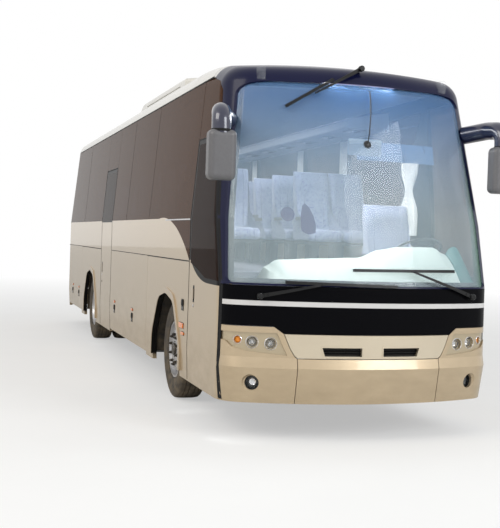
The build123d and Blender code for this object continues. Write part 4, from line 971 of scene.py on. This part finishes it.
def gathered_curtain(name, x, y, z, length, folds, depth, tie):
    """Cloth in folds along X that hangs from a rail, drawn in at the tie's height."""
    low, high = z
    columns, rows = folds * 8 + 1, 22
    points = []
    random_phase = [random.uniform(-0.5, 0.5) for _ in range(folds + 1)]
    for i in range(rows):
        share = i / (rows - 1)
        height = high - (high - low) * share
        squeeze = 1.0 - 0.6 * math.exp(-((height - tie) / 0.14) ** 2)
        row = []
        for j in range(columns):
            run = j / (columns - 1)
            phase = math.tau * folds * run + 0.6 * math.sin(3.0 * share + random_phase[int(run * folds)])
            fold = depth * squeeze * (0.75 + 0.25 * share) * math.sin(phase)
            reach = (run - 0.5) * length * squeeze + 0.12 * depth * math.cos(phase * 2)
            row.append(Vector((x, y, height)) + Vector((reach, fold, 0)))
        points.append(row)
    curtain = bpy.data.meshes.new(name)
    faces = [(i * columns + j, i * columns + j + 1, (i + 1) * columns + j + 1, (i + 1) * columns + j)
             for i in range(rows - 1) for j in range(columns - 1)]
    curtain.from_pydata([p for row in points for p in row], [], faces)
    curtain.materials.append(CURTAIN_CLOTH)
    curtain.polygons.foreach_set("use_smooth", [True] * len(faces))
    piece = placed(name, curtain)
    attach(piece, "root")


RAIL_ACROSS = 1.122
rails = Piece("curtain_rails")
for _, side in SIDES:
    rails.tube([(4.3, side * RAIL_ACROSS, 2.945), (-5.35, side * RAIL_ACROSS, 2.945)], 0.007, STEEL, 8)
rails.tube([(4.15, 1.08, 2.56), (4.72, 1.06, 2.56)], 0.006, STEEL, 8)
rails.done()
random.seed(7)
gathered_curtain("driver_curtain", NOSE - 1.66, 1.05, (1.8, 2.555), 0.4, 9, 0.028, 2.26)
for name, side in SIDES:
    for i, back in enumerate((3.72, 5.32, 7.52, 9.62)):
        gathered_curtain(f"curtain_{name}_{i}", NOSE - back, side * RAIL_ACROSS, (1.98, 2.938), 0.24, 7,
                         0.012, 2.3)


SEAT_SIDE = (
    # outline of a seat from the cushion's front foot round by the back, as (forward, height)
    (0.225, 0.335), (0.246, 0.36), (0.252, 0.41), (0.235, 0.447), (0.18, 0.452), (0.06, 0.445),
    (-0.06, 0.438),
    (-0.15, 0.436), (-0.195, 0.462), (-0.213, 0.53), (-0.227, 0.62), (-0.243, 0.72), (-0.26, 0.82),
    (-0.273, 0.91),
    (-0.268, 0.96), (-0.268, 1.01), (-0.282, 1.07), (-0.308, 1.118), (-0.35, 1.128), (-0.385, 1.1),
    (-0.39, 1.04),
    (-0.382, 0.97), (-0.37, 0.86), (-0.352, 0.72), (-0.335, 0.58), (-0.318, 0.44), (-0.302, 0.35),
    (-0.27, 0.332),
    (-0.12, 0.334), (0.06, 0.334),
)
SEAT_ACROSS = (-1.0, -0.985, -0.93, -0.84, -0.72, -0.665, -0.64, -0.615, -0.5, -0.3, -0.1, 0.1, 0.3, 0.5,
               0.615, 0.64,
               0.665, 0.72, 0.84, 0.93, 0.985, 1.0)


def seat_shell(half):
    """One stuffed seat: crowned across, drawn in at its edges, with a sewn channel each side."""
    middle = Vector((-0.1, 0.0, 0.55))
    points = []
    for u in SEAT_ACROSS:
        pull = 0.02 * max(0.0, (abs(u) - 0.84) / 0.16) ** 2 + (0.009 if abs(abs(u) - 0.64) < 0.01 else 0.0)
        crown = 0.007 * (1 - min(1.0, abs(u) / 0.66) ** 2)
        for forward_m, up_m in SEAT_SIDE:
            upholstered = -0.3 < forward_m - 0.1 * (up_m - 0.44) < 0.24 and up_m > 0.42
            shift = -pull + (crown if upholstered else 0.0)
            spine = Vector((-0.31 - 0.05 * up_m, 0, up_m)) if up_m > 0.5 else Vector((forward_m * 0.8, 0,
                                                                                      0.39))
            way = (Vector((forward_m, 0, up_m)) - spine).normalized()
            points.append(Vector((forward_m, 0, up_m)) + way * shift + Vector((0, u * half, 0)))
    count = len(SEAT_SIDE)
    faces = []
    for i in range(len(SEAT_ACROSS) - 1):
        for j in range(count):
            k = (j + 1) % count
            faces.append((i * count + j, i * count + k, (i + 1) * count + k, (i + 1) * count + j))
    last = (len(SEAT_ACROSS) - 1) * count
    for base, ring in ((0, range(count)), (last, range(count))):
        points.append(sum((points[base + j] for j in ring), Vector()) / count)
        hub = len(points) - 1
        for j in ring:
            k = (j + 1) % count
            faces.append((base + k, base + j, hub) if base == 0 else (base + j, base + k, hub))
    return points, faces


CLOTH_FRAMES = 14


def stuffed(points, faces, cap):
    """Blows the covers up a little by cloth simulation, each point moving no further than the cap."""
    mesh = bpy.data.meshes.new("seat_form")
    mesh.from_pydata(points, [], faces)
    form = bmesh.new()
    form.from_mesh(mesh)
    bmesh.ops.recalc_face_normals(form, faces=form.faces)
    form.to_mesh(mesh)
    form.free()
    holder = placed("seat_form", mesh)
    cloth = holder.modifiers.new("cloth", "CLOTH")
    cloth.settings.use_pressure = True
    cloth.settings.uniform_pressure_force = 4.0
    cloth.settings.tension_stiffness = 30.0
    cloth.settings.bending_stiffness = 2.0
    cloth.settings.effector_weights.gravity = 0.0
    cloth.point_cache.frame_start, cloth.point_cache.frame_end = 1, CLOTH_FRAMES
    for step in range(1, CLOTH_FRAMES + 1):
        scene.frame_set(step)
    graph = bpy.context.evaluated_depsgraph_get()
    blown = [v.co.copy() for v in holder.evaluated_get(graph).data.vertices]
    scene.frame_set(1)
    points = [p + (q - p).normalized() * min((q - p).length, cap) if (q - p).length > 0 else p
              for p, q in zip(points, blown)]
    bpy.data.objects.remove(holder)
    bpy.data.meshes.remove(mesh)
    return points


FLOOR, PLATFORM, DRIVER_Y = 1.38, 0.96, 0.79
ROW_PLACES = [2.75 + 0.8 * row for row in range(11)]
seat_points, seat_faces = seat_shell(0.2)
seat_points = stuffed(seat_points, seat_faces, 0.009)
covers = Piece("passenger_seat_cushions")
frames = Piece("passenger_seat_frames")
for back in ROW_PLACES:
    for _, side in SIDES:
        if side < 0 and 5.94 < back < 7.642:
            continue
        x = NOSE - back
        for middle in (0.478, 0.9):
            covers.add([p + Vector((x, side * middle, FLOOR)) for p in seat_points], seat_faces, SEAT_CLOTH)
            frames.tube([(x - 0.29, side * (middle - 0.12), FLOOR + 1.05),
                         (x - 0.388, side * (middle - 0.1), FLOOR + 1.02),
                         (x - 0.396, side * middle, FLOOR + 0.99),
                         (x - 0.388, side * (middle + 0.1), FLOOR + 1.02),
                         (x - 0.29, side * (middle + 0.12), FLOOR + 1.05)], 0.009, BLACK_TRIM, 8)
        frames.slab((x - 0.25, side * 0.28, FLOOR + 0.29), (x + 0.2, side * 1.1, FLOOR + 0.34), FRAME_PAINT,
                    0.008)
        frames.slab((x - 0.12, side * 0.64, FLOOR), (x + 0.08, side * 0.76, FLOOR + 0.3), FRAME_PAINT, 0.012)
        frames.slab((x - 0.2, side * 0.262, FLOOR + 0.56), (x + 0.1, side * 0.272, FLOOR + 0.6), GREY_PLASTIC,
                    0.004)
piece = covers.done()
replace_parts(piece, "passenger_seats")
frames.done()

driver = Piece("driver_seat_cushion")
x = NOSE - 1.32
driver.add([Vector((p[0], p[1] * 1.18, p[2])) + Vector((x, DRIVER_Y, PLATFORM + 0.02)) for p in seat_points],
           seat_faces, SEAT_CLOTH)
piece = driver.done()
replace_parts(piece, "driver_seat")
base = Piece("driver_seat_base")
base.slab((x - 0.2, 0.64, PLATFORM), (x + 0.18, 0.94, PLATFORM + 0.36), BLACK_TRIM, 0.03)
for _, side in SIDES:
    base.slab((x - 0.24, DRIVER_Y + side * 0.262, PLATFORM + 0.6),
              (x + 0.06, DRIVER_Y + side * 0.302, PLATFORM + 0.64), BLACK_TRIM, 0.015)
base.done()

mirror = Piece("interior_mirror")
mirror.slab((5.58, -0.137, 2.486), (5.602, 0.187, 2.634), MIRROR_BACK, 0.018)
mirror.slab((5.5775, -0.125, 2.498), (5.5815, 0.175, 2.622), MIRROR_GLASS, 0.0015)
mirror.lathe(((0.0, 0.0), (0.0, 0.034), (0.008, 0.038), (0.02, 0.024), (0.022, 0.0)), (5.6, 0.043, 2.583),
             (1, 0, 0.2), BLACK_PRINT, 24)
mirror.tube([(5.616, 0.043, 2.59), (5.63, 0.05, 2.68), (5.6, 0.07, 2.86), (5.545, 0.085, 3.0),
             (5.505, 0.09, 3.075)], 0.0055,
            BLACK_PRINT, 10)
mirror.done()

# The padded cowl over the dashboard: low before the door, raised into a hood over the instruments
COWL_RISE = (
    # across, height over the base
    (-0.86, 0.02), (-0.82, 0.1), (-0.7, 0.165), (-0.3, 0.185), (0.05, 0.2), (0.28, 0.28), (0.45, 0.31),
    (0.82, 0.315),
    (0.9, 0.27), (0.94, 0.25), (1.0, 0.32), (1.05, 0.33), (1.09, 0.25), (1.12, 0.06),
)
COWL_BASE, COWL_REAR = 1.372, 5.335
cowl = Piece("dashboard_cowl")
top, foot = [], []
for y in evenly(-0.86, 1.98, 58):
    low, high = [(a, b) for a, b in zip(COWL_RISE, COWL_RISE[1:]) if a[0] <= y + 1e-9][-1]
    share = min(1.0, (y - low[0]) / (high[0] - low[0]))
    rise = low[1] + (high[1] - low[1]) * share * share * (3 - 2 * share)
    front = nose_point(y, COWL_BASE + 0.01, 0.05)[0]
    steps = [k / 18 for k in range(19)]
    crest = [min(1.0, s / 0.16) ** 0.6 * (1 - max(0.0, (s - 0.16) / 0.84) ** 1.5) for s in steps]
    top.append([Vector((COWL_REAR + (front - COWL_REAR) * s, y, COWL_BASE + 0.004 + rise * c)) for s,
                c in zip(steps, crest)])
    foot.append([Vector((COWL_REAR + (front - COWL_REAR) * s, y, COWL_BASE)) for s in steps])
cowl.sheet(top, foot, DASH_PLASTIC)
cowl.done()

cabin = Piece("driver_controls")
for i in range(4):
    y = 0.5 + 0.19 * i
    cabin.lathe(((0.0, 0.0), (0.0, 0.034), (0.006, 0.036), (0.011, 0.032), (0.011, 0.0)),
                (5.27 + 0.004 * i, y, 1.43), (-0.8, 0, 0.35), BLACK_TRIM, 24)
for i in range(8):
    cabin.slab((5.29, 0.56 + 0.055 * i, 1.335), (5.302, 0.6 + 0.055 * i, 1.355), BLACK_RUBBER, 0.003)
cabin.tube([(5.3, 0.74, 1.2), (5.295, 0.6, 1.26), (5.24, 0.585, 1.33), (5.2, 0.575, 1.37)], 0.007, BLACK_TRIM,
           8)
cabin.done()

# The grab rail inside the front door, beside its leading edge
rail = Piece("door_grab_rail", "front_door")
rail.tube([(5.53, -1.226, 1.2), (5.53, -1.175, 1.203), (5.529, -1.155, 1.215), (5.526, -1.15, 1.24),
           (5.48, -1.15, 1.63),
           (5.474, -1.155, 1.652), (5.472, -1.175, 1.662), (5.47, -1.226, 1.665)], 0.012, YELLOW_RAIL, 12)
for x, z in ((5.53, 1.2), (5.47, 1.665)):
    rail.lathe(((0.0, 0.0), (0.0, 0.026), (0.008, 0.024), (0.011, 0.013), (0.011, 0.0)), (x, -1.222, z),
               (0, 1, 0), YELLOW_RAIL, 20)
rail.done()

visor = Piece("sun_visor")
nose_sheet(visor, evenly(-0.03, 0.81, 10), evenly(2.45, 0.17, 3), (0.11, 0.114), VISOR_FILM)
visor.done()


def pennant(name, outline, centre_y, centre_z):
    """A small stiff cloth pennant that hangs just inside the windscreen."""
    piece = Piece(name)
    hub = nose_point(centre_y, centre_z, 0.055)
    rim = [nose_point(centre_y + y, centre_z + z, 0.055 + 0.008 * math.sin(9 * y)) for y, z in outline]
    back = [p - Vector((0.002, 0, 0)) for p in rim]
    count = len(rim)
    points = rim + back + [hub, hub - Vector((0.002, 0, 0))]
    faces = []
    for i in range(count):
        k = (i + 1) % count
        faces += [(i, k, 2 * count), (count + k, count + i, 2 * count + 1), (k, i, count + i, count + k)]
    piece.add(points, faces, PENNANT_CLOTH)
    top = max(rim, key=lambda p: p[2])
    piece.tube([top, top + Vector((-0.004, 0, 0.06)), nose_point(centre_y, top[2] + 0.12, 0.034)], 0.0012,
               BLACK_TRIM, 6)
    piece.done()


pennant("pennant_round", [(0.06 * math.cos(math.tau * i / 24),
                           0.062 * math.sin(math.tau * i / 24)) for i in range(24)], -0.7, 1.94)
pennant("pennant_sail", [(-0.06, -0.1), (0.0, -0.125), (0.06, -0.11), (0.066, -0.04), (0.05, 0.04),
                         (0.015, 0.11), (-0.02, 0.145),
                         (-0.045, 0.12), (-0.06, 0.04), (-0.066, -0.04)], -0.53, 1.895)

# Racks: reading lamps, vents and a bright edge rail under each shelf
fittings = Piece("rack_fittings")
for _, side in SIDES:
    fittings.tube([(3.6, side * 0.642, 3.055), (-5.46, side * 0.642, 3.055)], 0.012, STEEL, 10)
    for back in ROW_PLACES:
        x = NOSE - back + 0.1
        fittings.slab((x - 0.11, side * 0.72, 2.95), (x + 0.11, side * 0.92, 2.962), GREY_PLASTIC, 0.004)
        for offset in (-0.05, 0.05):
            fittings.lathe(((0.0, 0.0), (0.0, 0.02), (0.006, 0.022), (0.014, 0.016), (0.014, 0.0)),
                           (x + offset, side * 0.77, 2.95), (0, 0, -1), LAMP_WHITE, 20)
            fittings.lathe(((0.0, 0.0), (0.0, 0.022), (0.008, 0.02), (0.008, 0.0)),
                           (x + offset, side * 0.86, 2.95), (0, 0, -1), BLACK_TRIM, 20)
fittings.done()

# Ribs on the roof hatches
for name, back in (("roof_hatch_front", 2.56), ("roof_hatch_rear", 9.3)):
    fittings = Piece(name + "_ribs", name)
    for i in range(5):
        y = -0.2 + 0.1 * i
        fittings.slab((NOSE - back - 0.23, y - 0.014, 3.483), (NOSE - back + 0.23, y + 0.014, 3.4895),
                      HATCH_WHITE, 0.005)
    fittings.done()


# Camera at the photograph's angle

CAMERA_PLACE = Vector((14.0026, -3.4856, 1.7274))
CAMERA_YAW, CAMERA_PITCH, CAMERA_ROLL = 0.2873, -0.026, 0.0333
FOCAL_PIXELS = 1017.3
LONG_SIDE_PIXELS = 528
SENSOR_MM = 36.0

forward = Vector((-math.cos(CAMERA_YAW) * math.cos(CAMERA_PITCH),
                  math.sin(CAMERA_YAW) * math.cos(CAMERA_PITCH), math.sin(CAMERA_PITCH)))
level_right = forward.cross(Vector((0, 0, 1))).normalized()
level_up = level_right.cross(forward)
right = math.cos(CAMERA_ROLL) * level_right + math.sin(CAMERA_ROLL) * level_up
up = math.cos(CAMERA_ROLL) * level_up - math.sin(CAMERA_ROLL) * level_right
camera = placed("camera", bpy.data.cameras.new("camera"))
camera.data.sensor_width = SENSOR_MM
camera.data.lens = SENSOR_MM * FOCAL_PIXELS / LONG_SIDE_PIXELS
camera.data.clip_end = 400.0
turn = Matrix((right, up, -forward)).transposed().to_4x4()
camera.matrix_world = Matrix.Translation(CAMERA_PLACE) @ turn
scene.camera = camera


# Studio: pale floor, white surroundings, two soft lamps outside and two in the cabin

FILL = 0.62
FLOOR_HALF = 120.0


def studio_world():
    """White where it is seen or mirrored, and a plain soft fill on the coach."""
    world = bpy.data.worlds.new("studio")
    scene.world = world
    world.use_nodes = True
    tree = world.node_tree
    tree.nodes.clear()
    rays = tree.nodes.new("ShaderNodeLightPath")
    seen = maths(tree, "MAXIMUM", rays.outputs["Is Camera Ray"], rays.outputs["Is Transmission Ray"])
    mirrored = maths(tree, "MAXIMUM", seen, rays.outputs["Is Glossy Ray"])
    fill = tree.nodes.new("ShaderNodeBackground")
    fill.inputs["Color"].default_value = (0.96, 0.98, 1.0, 1)
    fill.inputs["Strength"].default_value = FILL
    white = tree.nodes.new("ShaderNodeBackground")
    white.inputs["Color"].default_value = (1, 1, 1, 1)
    white.inputs["Strength"].default_value = 1.0
    either = tree.nodes.new("ShaderNodeMixShader")
    output = tree.nodes.new("ShaderNodeOutputWorld")
    tree.links.new(mirrored, either.inputs[0])
    tree.links.new(fill.outputs[0], either.inputs[1])
    tree.links.new(white.outputs[0], either.inputs[2])
    tree.links.new(either.outputs[0], output.inputs["Surface"])


def lamp(name, place, target, size, power, colour):
    data = bpy.data.lights.new(name, "AREA")
    data.shape = "RECTANGLE"
    data.size, data.size_y = size
    data.energy = power
    data.color = colour
    holder = placed(name, data)
    holder.location = place
    holder.rotation_mode = "QUATERNION"
    holder.rotation_quaternion = (Vector(target) - Vector(place)).to_track_quat("-Z", "Y")


studio_world()
lamp("soft_lamp_kerb", (9.0, -13.0, 11.0), (0.5, -1.0, 1.4), (10.0, 7.0), 1100.0, (1.0, 0.96, 0.9))
lamp("soft_lamp_nose", (17.0, 7.0, 8.0), (5.0, 0.0, 1.4), (7.0, 6.0), 1000.0, (0.94, 0.97, 1.0))
lamp("cabin_lamp_aisle", (-1.0, 0.0, 3.1), (-1.0, 0.0, 1.0), (8.4, 0.5), 100.0, (0.97, 0.99, 1.0))
lamp("cabin_lamp_front", (4.7, 0.0, 3.05), (4.9, 0.0, 1.0), (0.7, 1.6), 60.0, (0.97, 0.99, 1.0))

floor_material, floor_tree, floor_shader = new_material("pale_floor")
floor_tone = mixed(floor_tree, span(floor_tree, noise(floor_tree, 0.6, 3.0), 0.3, 0.7),
                   linear(232, 231, 228), linear(236, 235, 232))
feed(floor_tree, floor_shader, {"Base Color": floor_tone, "Roughness": 0.8})
floor_place = [place_along(floor_tree, axis) for axis in "XY"]
floor_far = maths(floor_tree, "SQRT", maths(floor_tree, "ADD",
                                            product(floor_tree, floor_place[0], floor_place[0]),
                                            product(floor_tree, floor_place[1], floor_place[1])))
floor_rays = floor_tree.nodes.new("ShaderNodeLightPath")
floor_glow = floor_tree.nodes.new("ShaderNodeEmission")
floor_glow.inputs["Strength"].default_value = 1.0
floor_mix = floor_tree.nodes.new("ShaderNodeMixShader")
floor_tree.links.new(product(floor_tree, floor_rays.outputs["Is Camera Ray"],
                             span(floor_tree, floor_far, 7.0, 24.0, 0.45, 1.0)), floor_mix.inputs[0])
floor_tree.links.new(floor_shader.outputs[0], floor_mix.inputs[1])
floor_tree.links.new(floor_glow.outputs[0], floor_mix.inputs[2])
floor_tree.links.new(floor_mix.outputs[0], floor_tree.nodes["Material Output"].inputs["Surface"])
floor_mesh = bpy.data.meshes.new("studio_floor")
floor_mesh.from_pydata([(-FLOOR_HALF, -FLOOR_HALF, 0), (FLOOR_HALF, -FLOOR_HALF, 0),
                        (FLOOR_HALF, FLOOR_HALF, 0), (-FLOOR_HALF, FLOOR_HALF, 0)], [], [(0, 1, 2, 3)])
floor_mesh.materials.append(floor_material)
floor = placed("studio_floor", floor_mesh)
